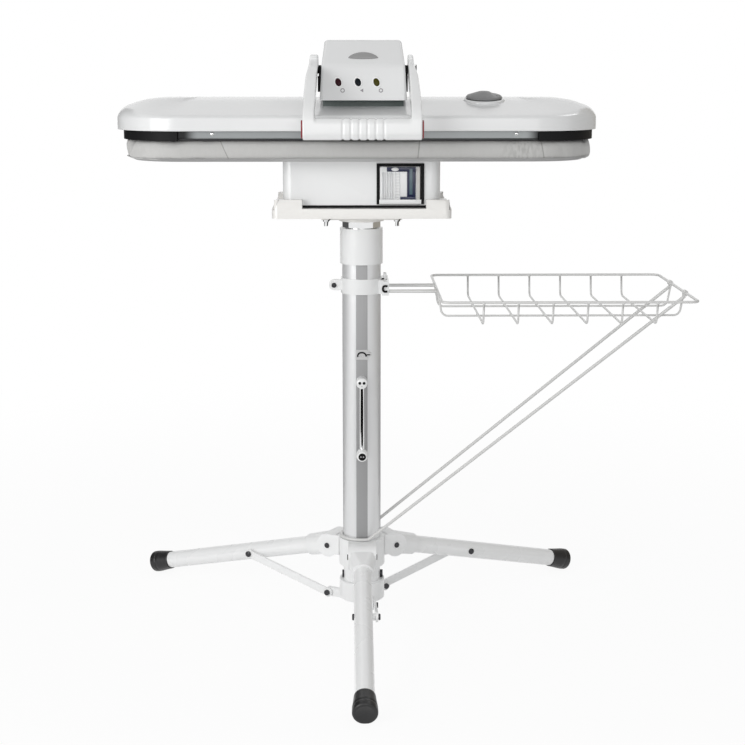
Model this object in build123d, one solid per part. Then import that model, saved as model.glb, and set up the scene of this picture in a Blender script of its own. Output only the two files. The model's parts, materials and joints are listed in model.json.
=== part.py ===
from build123d import *
import math
import os

os.makedirs("parts", exist_ok=True)

# Driving dimensions, millimetres.
# The origin is on the floor on the column axis.
# The user stands at minus Y, the basket is at plus X.

# column and mast
column_radius = 34.5
column_bore = 31.0
column_bottom = 98.0
column_top = 706.0
stripe_width = 22.0
collar_radius = 38.2
collar_length = 63.0
collar_rise = 15.0
run_gap = 0.3
mast_wall = 2.5
mast_bottom = 470.0
lift_stroke = 150.0
runner_length = 297.0

# tripod
hub_radius = 42.0
hub_height = 52.0
pivot_radius = 60.0
pivot_z = 128.0
leg_slope = 14.7
leg_radius = 16.0
strut_reach = 181.8
foot_reach = 480.0
foot_radius = 20.6
foot_cap_length = 42.0
sleeve_radius = 33.5
lower_collar_radius = 41.5
lower_collar_bottom = 32.5
lower_collar_top = 68.5

# crank
crank_z = 449.0
crank_length = 126.5
pinion_radius = 11.0

# basket
basket_below = 94.0
basket_near = 134.0
basket_far = 567.0
basket_half = 167.0
rail_radius = 2.3
rib_radius = 1.8
rib_count = 6
basket_drop = 38.0
ring_height = 27.5

# tray and base
lift_gap = 1.5
mount_height = 22.5
tray_width = 308.0
tray_depth = 180.0
tray_step = 17.0
block_height = 15.0
base_gap = 4.5
base_width = 271.0
base_depth = 144.0
base_height = 77.5
base_wall = 2.5
tank_left = 31.0
tank_right = 100.0
tank_depth = 126.0

# board and press head
head_x = -5.0
board_length = 807.0
board_depth = 280.0
board_corner = 112.0
board_plate = 6.0
pad_thickness = 28.0
sole_gap = 1.0
heat_thickness = 4.0
frame_height = 12.0
cover_length = 826.0
cover_depth = 290.0
cover_rise = 53.0
cover_front = 25.0
cover_wall = 3.0
console_x = 2.8
console_width = 147.0
console_height = 96.0
dial_x = 211.5
dial_y = -26.0
dial_radius = 31.5
dial_lean = 8.5

# handle
grip_reach = 195.0
grip_z = 900.5
grip_half = 96.7
arm_width = 15.0
arm_gap = 0.5

# lengths that follow from the ones above
slope = math.radians(leg_slope)
collar_top = column_top + collar_rise
collar_bottom = collar_top - collar_length
basket_z = column_top - basket_below
ring_bottom = basket_z - 7
ring_top = ring_bottom + ring_height
ring_flange_bottom = collar_top + lift_gap
tray_bottom = ring_flange_bottom + mount_height
tray_top = tray_bottom + tray_step
base_bottom = tray_top + base_gap
base_top = base_bottom + base_height
board_bottom = base_top
pad_bottom = board_bottom + board_plate
pad_top = pad_bottom + pad_thickness
heat_bottom = pad_top + sole_gap
frame_bottom = heat_bottom + heat_thickness
frame_top = frame_bottom + frame_height
cover_bottom = frame_top
cover_top = cover_bottom + cover_rise
hub_bottom = column_bottom
hub_top = hub_bottom + hub_height
mast_radius = column_bore - 2.5
hinge_y = board_depth / 2 + 24
hinge_z = heat_bottom + 8
collar_pivot_z = pivot_z - 2 * strut_reach * math.sin(slope)
leg_angles = {"front": -90.0, "right": 30.0, "left": 150.0}


def block(x0, x1, y0, y1, z0, z1):
    """Box between two corners."""
    size = Box(abs(x1 - x0), abs(y1 - y0), abs(z1 - z0))
    return Pos((x0 + x1) / 2, (y0 + y1) / 2, (z0 + z1) / 2) * size


def post(radius, z0, z1, x=0.0, y=0.0):
    """Upright cylinder from z0 to z1."""
    return Pos(x, y, (z0 + z1) / 2) * Cylinder(radius, z1 - z0)


def pipe(outer, inner, z0, z1, x=0.0, y=0.0):
    """Upright tube."""
    return post(outer, z0, z1, x, y) - post(inner, z0 - 1, z1 + 1, x, y)


def rod(start, end, radius):
    """Round rod between two points."""
    a = Vector(*start)
    b = Vector(*end)
    along = b - a
    place = Plane(origin=a, z_dir=along)
    return extrude(place * Circle(radius), along.length)


def slab(length, depth, corner, z0, z1, x=0.0, y=0.0):
    """Plate with rounded corners in plan."""
    sketch = Pos(x, y, z0) * RectangleRounded(length, depth, corner)
    return extrude(sketch, z1 - z0)


def bent_rod(points, radius, bend):
    """Wire through the points with rounded bends."""
    path = FilletPolyline(*points, radius=bend)
    section = Plane(origin=path @ 0, z_dir=path % 0) * Circle(radius)
    return sweep(section, path=path)


def turned(shape, angle):
    """Turn a piece about the column axis."""
    return Rot(0, 0, angle) * shape


def side_profile(points, x0, x1):
    """Profile in the YZ plane pulled along X."""
    face = make_face(Plane.YZ * Polyline(*points, close=True))
    return Pos(x0, 0, 0) * extrude(face, x1 - x0, dir=(1, 0, 0))


def save(shape, name):
    """Write one piece to its own file."""
    export_step(shape, "parts/" + name + ".step")


# The column is one extrusion with a flat stripe down its front.
stripe_depth = math.sqrt(column_radius ** 2 - (stripe_width / 2) ** 2)
column = pipe(column_radius, column_bore, column_bottom, column_top)
column -= block(-60, 60, -60, -stripe_depth, column_bottom - 1, column_top + 1)
bush = rod((0, -column_radius - 3, crank_z), (0, -column_bore + 1, crank_z), 8)
bush += rod((0, -column_radius - 3, crank_z), (0, -stripe_depth, crank_z), 10)
bush += rod((0, column_bore - 1, crank_z), (0, column_radius + 1, crank_z), 8)
column += bush
column -= rod((0, -60, crank_z), (0, 60, crank_z), 6.06)
save(column, "column_tube")

# The collar caps the column and guides the mast.
collar = pipe(collar_radius, column_radius, collar_bottom, column_top)
collar += pipe(collar_radius, mast_radius + run_gap, column_top, collar_top)
collar += block(-stripe_width / 2 + 0.5, stripe_width / 2 - 0.5,
                -column_radius - 0.5, -stripe_depth, collar_bottom, column_top)
save(collar, "column_collar")


# Each leg turns on its pivot between two cheeks of the hub.
cheek_outer = 25.5
cheek_inner = 19.4
arm_round = 22.0
tongue_half = 18.9
tongue_round = 16.5


def on_leg(shape):
    """Place a piece built along plus X from the pivot onto the leg slope."""
    return Pos(pivot_radius, 0, pivot_z) * Rot(0, leg_slope, 0) * shape


def hub_arm():
    """One arm along plus X: two cheeks and a roof over the root of the leg."""
    ends = (pivot_radius, -cheek_outer, pivot_z), (pivot_radius, cheek_outer, pivot_z)
    shape = rod(ends[0], ends[1], arm_round)
    shape += block(column_radius + 0.5, pivot_radius, -cheek_outer, cheek_outer,
                   pivot_z - 15, pivot_z + arm_round)
    slot = on_leg(block(-30, 60, -cheek_inner, cheek_inner, -80, tongue_round + 0.7))
    slot &= block(hub_radius + 0.6, 120, -30, 30, 0, 200)
    return shape - slot


hub = post(hub_radius, hub_bottom, hub_top)
for turn in leg_angles.values():
    hub += turned(hub_arm(), turn)
hub -= post(column_radius, hub_bottom - 20, hub_top + 1)
for turn in leg_angles.values():
    hub -= turned(rod((pivot_radius, -40, pivot_z), (pivot_radius, 40, pivot_z), 4.0), turn)
save(hub, "tripod_hub")


# Bolts through the cheeks, each a shaft with a head and a nut.
def pivot_bolt():
    """Pivot bolt across one arm of the hub."""
    half = cheek_outer
    shape = rod((pivot_radius, -half, pivot_z), (pivot_radius, half, pivot_z), 4.0)
    shape += rod((pivot_radius, half, pivot_z), (pivot_radius, half + 1.8, pivot_z), 5.0)
    shape += rod((pivot_radius, -half - 1.8, pivot_z), (pivot_radius, -half, pivot_z), 5.0)
    return shape


bolts = [turned(pivot_bolt(), turn) for turn in leg_angles.values()]
save(Compound(children=bolts), "leg_pivot_bolts")


# Each leg is an end fitting, a tube, a rubber foot and a bolt.
foot_length = (foot_reach - pivot_radius) / math.cos(slope)
tube_start = 30.0
knuckle_end = 52.0
strut_side = leg_radius + 5.0


def knuckle():
    """End fitting: a tongue on the pivot and a shoulder that narrows to the tube."""
    wide = Plane(origin=(10, 0, 0), x_dir=(0, 1, 0), z_dir=(1, 0, 0))
    narrow = Plane(origin=(knuckle_end, 0, 0), x_dir=(0, 1, 0), z_dir=(1, 0, 0))
    end_size = 2 * leg_radius + 7.5
    shape = loft(Sketch() + [wide * RectangleRounded(2 * cheek_outer, 38, 12),
                             narrow * RectangleRounded(end_size, end_size, end_size / 2 - 0.1)])
    shape -= rod((0, -40, 0), (0, 40, 0), arm_round + 0.6)
    shape += rod((0, -tongue_half, 0), (0, tongue_half, 0), tongue_round)
    shape += block(0, 26, -tongue_half, tongue_half, -tongue_round, tongue_round)
    shape -= rod((0, -40, 0), (0, 40, 0), 4.3)
    shape -= rod((tube_start, 0, 0), (knuckle_end + 1, 0, 0), leg_radius)
    return shape


def leg_tube():
    """Round tube from the end fitting to the foot."""
    end = foot_length - 8
    shape = rod((tube_start, 0, 0), (end, 0, 0), leg_radius)
    shape -= rod((tube_start - 1, 0, 0), (end + 1, 0, 0), leg_radius - 1.8)
    return shape + strut_bolt()


def foot_cap():
    """Rubber cap that flares to its end, before its facet on the floor is cut."""
    start = foot_length - foot_cap_length
    profile = [(start, leg_radius), (start, leg_radius + 1.7), (foot_length - 14, foot_radius),
               (foot_length - 2.5, foot_radius), (foot_length, foot_radius - 2.5), (foot_length, 0),
               (foot_length - 8, 0), (foot_length - 8, leg_radius)]
    return revolve(make_face(Plane.XZ * Polyline(*profile, close=True)), Axis.X, 360)


def strut_bolt():
    """Bolt that holds the strut on the leg."""
    shape = rod((strut_reach, -leg_radius - 1, 0), (strut_reach, strut_side + 5.2, 0), 3.5)
    shape += rod((strut_reach, -leg_radius - 2.2, 0), (strut_reach, -leg_radius + 2, 0), 5.0)
    shape += rod((strut_reach, leg_radius - 2, 0), (strut_reach, strut_side - 0.3, 0), 6.0)
    shape += rod((strut_reach, strut_side + 4.6, 0), (strut_reach, strut_side + 7.4, 0), 5.2)
    return shape


def strut():
    """Flat bar from the leg bolt to the lower collar, built in the leg plane."""
    top = (pivot_radius + strut_reach * math.cos(slope), pivot_z - strut_reach * math.sin(slope))
    low = (pivot_radius, collar_pivot_z)
    y0 = strut_side
    y1 = strut_side + 4.3
    angle = math.degrees(math.atan2(top[1] - low[1], top[0] - low[0]))
    bar = block(0, strut_reach, y0, y1, -7.5, 7.5)
    shape = Pos(low[0], 0, low[1]) * Rot(0, -angle, 0) * bar
    for x, z in (top, low):
        shape += rod((x, y0, z), (x, y1, z), 9)
    for x, z in (top, low):
        shape -= rod((x, y0 - 1, z), (x, y1 + 1, z), 3.8)
    return shape


for name, turn in leg_angles.items():
    ground = 2 * foot_reach
    floor = block(-ground, ground, -ground, ground, -ground, 0)
    save(turned(on_leg(knuckle()), turn), "leg_knuckle_" + name)
    save(turned(on_leg(leg_tube()), turn), "leg_tube_" + name)
    save(turned(on_leg(foot_cap()) - floor, turn), "leg_foot_" + name)
    save(turned(strut(), turn), "strut_" + name)

# The runner slides inside the column and carries the lower collar.
runner_radius = column_bore - run_gap
runner_top = column_bottom + runner_length
runner = pipe(runner_radius, runner_radius - 2.5, lower_collar_bottom + 4, runner_top)
save(runner, "runner_tube")

sleeve = pipe(sleeve_radius, runner_radius, lower_collar_top - 2, hub_bottom - 1)

low_collar = pipe(lower_collar_radius, runner_radius, lower_collar_bottom, lower_collar_top)
low_collar += post(lower_collar_radius - 3, lower_collar_bottom, lower_collar_bottom + 4)


def collar_lug():
    """Lug on the lower collar, beside the strut."""
    y0 = strut_side - 9
    y1 = strut_side - 0.5
    z = collar_pivot_z
    shape = rod((pivot_radius, y0, z), (pivot_radius, y1, z), 9)
    shape += block(lower_collar_radius - 12, pivot_radius, y0, y1, z - 8, z + 9)
    return shape


def collar_bolt():
    """Bolt that holds one strut on its lug."""
    y = strut_side
    z = collar_pivot_z
    shape = rod((pivot_radius, y - 9, z), (pivot_radius, y + 5.2, z), 3.5)
    shape += rod((pivot_radius, y + 4.8, z), (pivot_radius, y + 8, z), 5.2)
    shape += rod((pivot_radius, y - 12, z), (pivot_radius, y - 9, z), 5.2)
    return shape


for turn in leg_angles.values():
    low_collar += turned(collar_lug(), turn)
low_collar -= post(runner_radius, lower_collar_bottom + 4, lower_collar_top + 1)
for turn in leg_angles.values():
    hole = rod((pivot_radius, 0, collar_pivot_z), (pivot_radius, 60, collar_pivot_z), 3.5)
    low_collar -= turned(hole, turn)
low_collar += sleeve
bolts = [turned(collar_bolt(), turn) for turn in leg_angles.values()]

# A short bolt each side locks the collar's sleeve to the runner.
cross_z = lower_collar_top + 7.5
for side in (-1, 1):
    grow = 5 if side > 0 else 3
    bolt = rod((side * runner_radius, 0, cross_z), (side * (sleeve_radius + grow), 0, cross_z), 3)
    bolt += rod((side * sleeve_radius, 0, cross_z), (side * (sleeve_radius + grow), 0, cross_z), 7)
    bolt -= post(runner_radius, cross_z - 20, cross_z + 20)
    bolt -= post(sleeve_radius, cross_z - 20, cross_z + 20)
    bolts.append(bolt)
save(low_collar, "lower_collar")
save(Compound(children=bolts), "collar_bolts")

# The crank: a spindle with a pinion, an arm and a knob.
arm_y = -column_radius - 14
spindle = rod((0, arm_y - 2, crank_z), (0, column_radius, crank_z), 6)

pinion = rod((0, -8, crank_z), (0, 8, crank_z), pinion_radius)
for tooth in range(10):
    angle = math.radians(36 * tooth)
    x = (pinion_radius + 0.6) * math.cos(angle)
    z = crank_z + (pinion_radius + 0.6) * math.sin(angle)
    pinion -= rod((x, -9, z), (x, 9, z), 1.9)
save(spindle + pinion, "crank_spindle")

crank_low = crank_z - crank_length
arm = rod((0, arm_y - 6, crank_z), (0, arm_y + 8, crank_z), 9.2)
arm += rod((0, arm_y, crank_z), (0, arm_y, crank_low), 5)
arm += rod((0, arm_y - 6, crank_low), (0, arm_y + 6, crank_low), 7.5)
arm += rod((0, arm_y - 34, crank_low), (0, arm_y - 4, crank_low), 3.5)
arm -= rod((0, arm_y - 2, crank_z), (0, arm_y + 40, crank_z), 6)
save(arm, "crank_arm")

knob_start = arm_y - 6.6
knob_points = [(3.6, 0), (8.8, 0), (10.4, 8), (10.8, 16), (10.2, 24), (8.6, 28), (3.6, 28)]
knob_face = make_face(Plane.XZ * Polyline(*knob_points, close=True))
knob = revolve(knob_face, Axis.Z, 360)
knob = Pos(0, knob_start, crank_low) * Rot(90, 0, 0) * knob
knob += rod((0, knob_start - 28, crank_low), (0, knob_start - 30.5, crank_low), 8.2)
save(knob, "crank_knob")

# A latch plate with two wire clips sits above the crank.
latch_z = crank_z + 48.5
latch = block(-10.8, 10.8, -stripe_depth - 2.4, -stripe_depth, latch_z - 9, latch_z + 9)
latch += rod((14.6, -column_radius - 1, latch_z + 1), (14.6, -30, latch_z + 1), 3.4)
latch += block(6, 14.6, -stripe_depth - 2.4, -stripe_depth, latch_z - 2, latch_z + 4)
latch -= post(column_radius, latch_z - 30, latch_z + 30) & block(
    11, 40, -60, 0, latch_z - 30, latch_z + 30)

for x in (-5.2, 5.2):
    ring = Pos(x, -stripe_depth - 2.4, latch_z - 4) * Rot(90, 0, 0) * Torus(3.6, 1.0)
    ring -= block(-40, 40, -60, 0, latch_z - 20, latch_z - 4)
    ring -= block(-40, 40, -stripe_depth - 2.4, 0, latch_z - 20, latch_z + 20)
    latch += ring
save(latch, "latch_plate")

# The mast telescopes in the column and carries the press.
mast = pipe(mast_radius, mast_radius - mast_wall, mast_bottom, tray_bottom - 4)
mast += pipe(column_bore - run_gap, mast_radius - 1, mast_bottom, mast_bottom + 22)
flange_top = ring_flange_bottom + 11
mast += pipe(column_radius, mast_radius - 1, ring_flange_bottom, flange_top)
save(mast, "mast_tube")
rack_x = pinion_radius + 0.3
rack_low = crank_z - lift_stroke - 16
rack = block(rack_x, rack_x + 7, -7, 7, rack_low, mast_bottom + 40)
count = int((crank_z + 30 - rack_low) / 6.283)
for tooth in range(count):
    z = rack_low + 4 + 6.283 * tooth
    rack -= block(rack_x - 1, rack_x + 2, -8, 8, z, z + 3)
carrier_reach = math.sqrt((mast_radius - mast_wall) ** 2 - 49)
rack += block(rack_x + 6, carrier_reach + 2, -7, 7, mast_bottom + 10, mast_bottom + 40)
rack -= pipe(60, mast_radius - mast_wall, mast_bottom - 40, mast_bottom + 60)
save(rack, "mast_rack")

plate = pipe(40, mast_radius, flange_top, flange_top + 6)
plate += block(-70, 70, -55, 55, flange_top + 6, tray_bottom) - post(
    mast_radius, flange_top, tray_bottom + 1)

# The tray carries the base on four corner blocks.
half_x = tray_width / 2
half_y = tray_depth / 2
base_half_y = base_depth / 2
block_left = 52.0
block_right = 44.0
tray = slab(tray_width, tray_depth, 12, tray_bottom, tray_top)
tray -= slab(tray_width - 8, tray_depth - 8, 8, tray_bottom - 1, tray_top - 4)
tray += block(-74, 74, -59, 59, tray_bottom, tray_top - 2)
base_floor = base_bottom - 2.5
blocks = slab(tray_width, tray_depth, 12, tray_top, tray_top + block_height)
blocks -= block(-half_x + block_left, half_x - block_right, -half_y - 1, half_y + 1,
                tray_bottom, tray_top + 40)
blocks -= block(-half_x - 1, half_x + 1, -half_y + 30, half_y - 30, tray_bottom, tray_top + 40)
blocks -= slab(base_width + 1, base_depth + 1, 18.5, base_floor, tray_top + 40)
screws = []
for x in (-62, 62):
    for y in (-40, 40):
        screw = post(5.5, flange_top + 2, flange_top + 6, x, y)
        screw += post(3.4, flange_top - 6, flange_top + 2, x, y)
        screw += post(3, flange_top + 5, base_floor, x, y)
        screws.append(screw)
holes = [post(3, flange_top, base_floor + 1, x, y) for x in (-62, 62) for y in (-40, 40)]
tray += blocks
for x in (-62, 62):
    for y in (-40, 40):
        tray += post(8, tray_top - 3, base_floor, x, y)
save(tray - holes, "tray")
save(plate - holes, "top_plate")
save(Compound(children=screws), "tray_screws")

# The base is a hollow shell with a window for the tank.
window_left = tank_left - 5.5
window_right = tank_right + 7.0
window_low = base_bottom + 1.5
window_high = base_top - 6
front = -base_half_y
shell = slab(base_width, base_depth, 18, base_bottom, base_top)
shell -= slab(base_width - 2 * base_wall, base_depth - 2 * base_wall, 15.5,
              base_bottom - 1, base_top - base_wall)
opening = block(tank_left - 1.5, tank_right + 1.5, front - 5, front + 10,
                window_low + 4, window_high - 4)
shell -= opening
shell -= rod((-90, 0, base_bottom + 24), (-90, 100, base_bottom + 24), 8)
save(shell, "base_shell")

bottom = slab(base_width - 8, base_depth - 8, 14, base_floor, base_bottom)

window = block(window_left, window_right, front - 2.5, front, window_low, window_high)
window -= opening
save(window, "window_frame")

# The water tank slides out to the front.
tank_low = base_bottom + 8
tank_high = base_top - 11.5
tank_front = front - 1.5
tank_split = tank_left + 0.56 * (tank_right - tank_left)
tank = block(tank_left, tank_right, tank_front, tank_front + tank_depth, tank_low, tank_high)
tank -= block(tank_left + 2, tank_right - 2, tank_front + 2, tank_front + tank_depth - 2,
              tank_low + 2, tank_high - 2)
for rib in range(5):
    x = tank_left + 5 + 7 * rib
    tank += block(x, x + 1.6, tank_front - 0.9, tank_front, tank_low + 3, tank_high - 9)
save(tank, "water_tank")
panel = block(tank_split, tank_right, tank_front - 1.2, tank_front, tank_low, tank_high)
panel += block(tank_left, tank_split, tank_front - 1.2, tank_front, tank_high - 6, tank_high)
grip = block(tank_right - 9, tank_right - 2, tank_front - 3, tank_front - 1.2,
             tank_low + 4, tank_high - 4)
cap = rod((tank_split - 12, tank_front - 3.4, tank_high - 3),
          (tank_split - 12, tank_front - 1.2, tank_high - 3), 2.6)
save(panel + grip + cap, "tank_panel")

# Rails carry the tank inside the base.
rail_top = tank_low - 0.3
rails = block(tank_left, tank_left + 9, front + base_wall, front + tank_depth + 6,
              base_bottom, rail_top)
rails += block(tank_right - 9, tank_right, front + base_wall, front + tank_depth + 6,
               base_bottom, rail_top)
rails += block(tank_left, tank_right, front + tank_depth, front + tank_depth + 6,
               base_bottom, rail_top + 18)
save(bottom + rails, "base_bottom")

# The pump, the circuit board and the inlet sit left in the base.
pump = post(20, base_bottom, base_bottom + 34, -20, 5)
pump += post(13, base_bottom + 34, base_bottom + 44, -20, 5)
board = block(-118, -58, -52, 30, base_bottom + 6, base_bottom + 8)
for x in (-112, -64):
    for y in (-46, 24):
        board += post(3, base_bottom, base_bottom + 6, x, y)
for x, y, w, h in ((-100, -30, 14, 12), (-78, -34, 10, 8), (-92, 8, 20, 9), (-70, 10, 9, 16)):
    board += block(x - w / 2, x + w / 2, y - 6, y + 6, base_bottom + 8, base_bottom + 8 + h)
save(board, "circuit_board")
inlet = rod((-90, base_half_y - base_wall, base_bottom + 24),
            (-90, base_half_y + 12, base_bottom + 24), 8)
inlet += rod((-90, base_half_y, base_bottom + 24), (-90, base_half_y + 4, base_bottom + 24), 12)
inlet -= rod((-90, base_half_y - 12, base_bottom + 24), (-90, base_half_y + 14, base_bottom + 24), 4)
save(inlet, "power_inlet")
hose = bent_rod([(-20, 5, base_bottom + 44), (-20, 5, base_top - 13),
                 (-20, base_half_y - 12, base_top - 13), (-20, base_half_y - 12, base_top - base_wall)],
                3.5, 8)
save(pump + hose, "steam_pump")

# The board plate and the pad lie on the base.
board = slab(board_length - 8, board_depth - 6, board_corner - 3, board_bottom, pad_bottom, head_x)
save(board, "board_plate")
pad = slab(board_length, board_depth, board_corner, pad_bottom, pad_top, head_x)
save(pad, "ironing_pad")

# Two hinge posts at the rear carry the shaft.
post_places = (-95.0, 95.0)
post_half = 9.0


def hinge_post(x):
    """Angle bracket from the board plate up to the shaft."""
    x0 = head_x + x - post_half
    x1 = head_x + x + post_half
    rear = board_depth / 2
    shape = block(x0, x1, rear - 60, hinge_y + 12, board_bottom - 6, board_bottom)
    shape += block(x0, x1, rear + 6, hinge_y + 12, board_bottom - 1, hinge_z)
    shape += rod((x0, hinge_y, hinge_z), (x1, hinge_y, hinge_z), 12)
    shape -= rod((x0 - 1, hinge_y, hinge_z), (x1 + 1, hinge_y, hinge_z), 6)
    return shape


posts = [hinge_post(x) for x in post_places]
save(Compound(children=posts), "hinge_posts")
shaft_half = 95.0 + post_half + 2
shaft = rod((head_x - shaft_half, hinge_y, hinge_z), (head_x + shaft_half, hinge_y, hinge_z), 6)
save(shaft, "hinge_shaft")
springs = []
for x in (-68, 68):
    points = [(6, 0), (7.4, 0)]
    for coil in range(7):
        low = 0.6 + 4.2 * coil
        points += [(7.4, low), (9.6, low + 1), (9.6, low + 2.4), (7.4, low + 3.4)]
    points += [(7.4, 30), (6, 30)]
    coil_face = make_face(Plane.XZ * Polyline(*points, close=True))
    spring = revolve(coil_face, Axis.Z, 360)
    springs.append(Pos(head_x + x - 15, hinge_y, hinge_z) * Rot(0, 90, 0) * spring)
save(Compound(children=springs), "hinge_springs")

# The press head: heated plate, aluminium frame, black ends and cover.
heat = slab(board_length - 19, board_depth - 19, board_corner - 9.5, heat_bottom, frame_bottom, head_x)
save(heat, "heated_plate")
band_left = head_x - 300
band_right = head_x + 298
frame = slab(board_length - 6, board_depth - 6, board_corner - 3, frame_bottom, frame_top, head_x)
frame -= slab(board_length - 26, board_depth - 26, board_corner - 13,
              frame_bottom + 3, frame_top + 1, head_x)
middle = block(band_left, band_right, -board_depth, board_depth, frame_bottom - 30, frame_top + 30)
core = slab(board_length - 18, board_depth - 18, board_corner - 9,
            frame_bottom - 30, frame_top + 30, head_x)
save(frame & (middle + core), "sole_frame")
ends = slab(board_length, board_depth, board_corner, heat_bottom, frame_top, head_x)
ends -= core
ends -= middle
save(ends, "sole_end_caps")

path_x = board_length / 2 - 80
element_z = frame_bottom + 6.5
element = bent_rod([(head_x - path_x, 50, element_z), (head_x + path_x, 50, element_z),
                    (head_x + path_x, -50, element_z), (head_x - path_x, -50, element_z)],
                   3.5, 40)
save(element, "heating_element")
cover_crease = cover_bottom + cover_front
cover_half = cover_depth / 2


def cover_solid(inset):
    """The cover's outer form, pulled in by the inset."""
    x0 = head_x - cover_length / 2 - 2 + inset
    x1 = head_x + cover_length / 2 - 2 - inset
    y = cover_half - inset
    top = cover_top - inset
    crease = cover_crease - inset
    profile = [(-y, cover_bottom), (-y, crease - 4), (-y + 3, crease), (-25, top - 4), (30, top),
               (y - 30, top - 3), (y - 6, top - 22), (y, top - 32), (y, cover_bottom)]
    across = side_profile(profile, x0, x1)
    plan = slab(cover_length - 2 * inset, cover_depth - 2 * inset, cover_half - 22 - inset,
                cover_bottom, cover_top + 10, head_x - 2)
    ends_profile = [(x0, cover_bottom), (x0, crease), (x0 + 12, top - 15), (x0 + 42, top - 4),
                    (x0 + 70, top), (x1 - 70, top), (x1 - 42, top - 4), (x1 - 12, top - 15),
                    (x1, crease), (x1, cover_bottom)]
    face = make_face(Plane.XZ * Polyline(*ends_profile, close=True))
    along = Pos(0, 400, 0) * extrude(face, 800, dir=(0, -1, 0))
    return across & plan & along


cover_outer = cover_solid(0)
cover = cover_outer - cover_solid(cover_wall)
dial_z = cover_top - 4
dial_place = Pos(dial_x, dial_y, dial_z) * Rot(dial_lean, 0, 0)
cover += dial_place * post(dial_radius - 2, -8, 2.2) - cover_solid(cover_wall)
for x in (-270, -90, 90, 270):
    for y in (-95, 95):
        stand_off = post(7, frame_bottom + 3, cover_top, head_x + x, y)
        cover += stand_off & (cover_outer + post(7, frame_bottom, cover_bottom, head_x + x, y))
cover -= dial_place * post(6, -20, 10)
save(cover, "top_cover")

# Two hinge arms join the cover to the shaft.
arms = []
for x in (-38, 38):
    x0 = head_x + x - 13
    x1 = head_x + x + 13
    barrel = rod((x0, hinge_y, hinge_z), (x1, hinge_y, hinge_z), 12)
    barrel += block(x0, x1, cover_half - 1, hinge_y + 4, cover_bottom + 3, cover_bottom + 16)
    barrel += block(x0, x1, hinge_y - 12, hinge_y + 4, hinge_z, cover_bottom + 16)
    barrel -= cover_outer
    barrel -= rod((x0 - 1, hinge_y, hinge_z), (x1 + 1, hinge_y, hinge_z), 6.06)
    arms.append(barrel)
save(Compound(children=arms), "hinge_arms")

# The console stands on the cover between the handle arms.
console_half = console_width / 2
console_left = console_x - console_half
console_right = console_x + console_half
console_top = cover_top + console_height
lip = console_top - 42
face_low = cover_crease + 28
profile = [(-98, cover_crease), (-98, face_low), (-96, face_low + 2), (-85, lip),
           (-46, console_top), (30, console_top), (56, console_top - 14), (72, cover_top - 20),
           (72, cover_crease)]
console = side_profile(profile, console_left, console_right)
taper = [(-console_half, cover_crease - 5), (-console_half, face_low), (-console_half + 2.5, lip),
         (-console_half + 9, console_top + 1), (console_half - 9, console_top + 1),
         (console_half - 2.5, lip), (console_half, face_low), (console_half, cover_crease - 5)]
taper_face = make_face(Plane.XZ * Polyline(*taper, close=True))
console &= Pos(console_x, 300, 0) * extrude(taper_face, 600, dir=(0, -1, 0))
console -= block(console_left - 1, console_left + 5, -120, 100, cover_crease - 5, face_low - 4)
console -= block(console_right - 5, console_right + 1, -120, 100, cover_crease - 5, face_low - 4)
console -= block(-200, 200, -120, -88, cover_crease - 5, face_low - 4)
inner = [(-84, cover_crease - 20), (-84, face_low - 4), (-91, face_low + 1), (-80, lip),
         (-44, console_top - 4),
         (28, console_top - 4), (52, console_top - 18), (66, cover_crease - 20)]
outer_console = console
console -= side_profile(inner, console_left + 14, console_right - 14)


# The lower face of the console carries three lamps.
lean = math.degrees(math.atan2(11.0, lip - face_low - 2))


def on_front(shape, x, z):
    """Place a piece made on the XY plane, facing out, on the front face."""
    depth = -96 + (z - face_low - 2) * 11.0 / (lip - face_low - 2)
    return Pos(x, depth, z) * Rot(90 - lean, 0, 0) * shape


lamp_z = face_low + 26
lamps = {"red": -42.0, "green": -9.0, "amber": 22.0}
bezels = []
lamp_bodies = []
for name, x in lamps.items():
    tilt = Rot(0, 0, 18)
    hole = on_front(tilt * Pos(0, 0, -3) * extrude(Ellipse(6.2, 8.2), 8), console_x + x, lamp_z)
    console -= hole
    ring = tilt * (extrude(Ellipse(6.2, 8.2), 1.2) - extrude(Ellipse(4.4, 6.4), 1.2))
    bezels.append(on_front(Pos(0, 0, -0.2) * ring, console_x + x, lamp_z))
    lamp = tilt * Pos(0, 0, -3) * extrude(Ellipse(4.4, 6.4), 4.2)
    lamp_bodies.append(on_front(lamp, console_x + x, lamp_z))
save(Compound(children=lamp_bodies), "indicator_lamps")

# The steam button is a lens shape set in the sloped upper face.
def lens(grow, height):
    """Lens outline, wide and low with an arched top."""
    low = ThreePointArc((-25.5 - 1.6 * grow, -4), (0, -6.5 - grow), (25.5 + 1.6 * grow, -4))
    high = ThreePointArc((25.5 + 1.6 * grow, -4), (0, 8.5 + grow), (-25.5 - 1.6 * grow, -4))
    return extrude(make_face([low, high]), height)


button_y = -85 + 39 * 0.36
button_z = lip + 42 * 0.36
tilt = math.degrees(math.atan2(42, 39))
seat = Pos(console_x, button_y, button_z) * Rot(tilt, 0, 0)
console += outer_console & (seat * Pos(0, 0, -9) * extrude(Rectangle(62, 28), 20))
console -= seat * Pos(0, 0, -6.5) * lens(0.5, 20)
button = Pos(0, 0, -3.6) * lens(0, 5.4)
save(seat * button, "steam_button")

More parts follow.
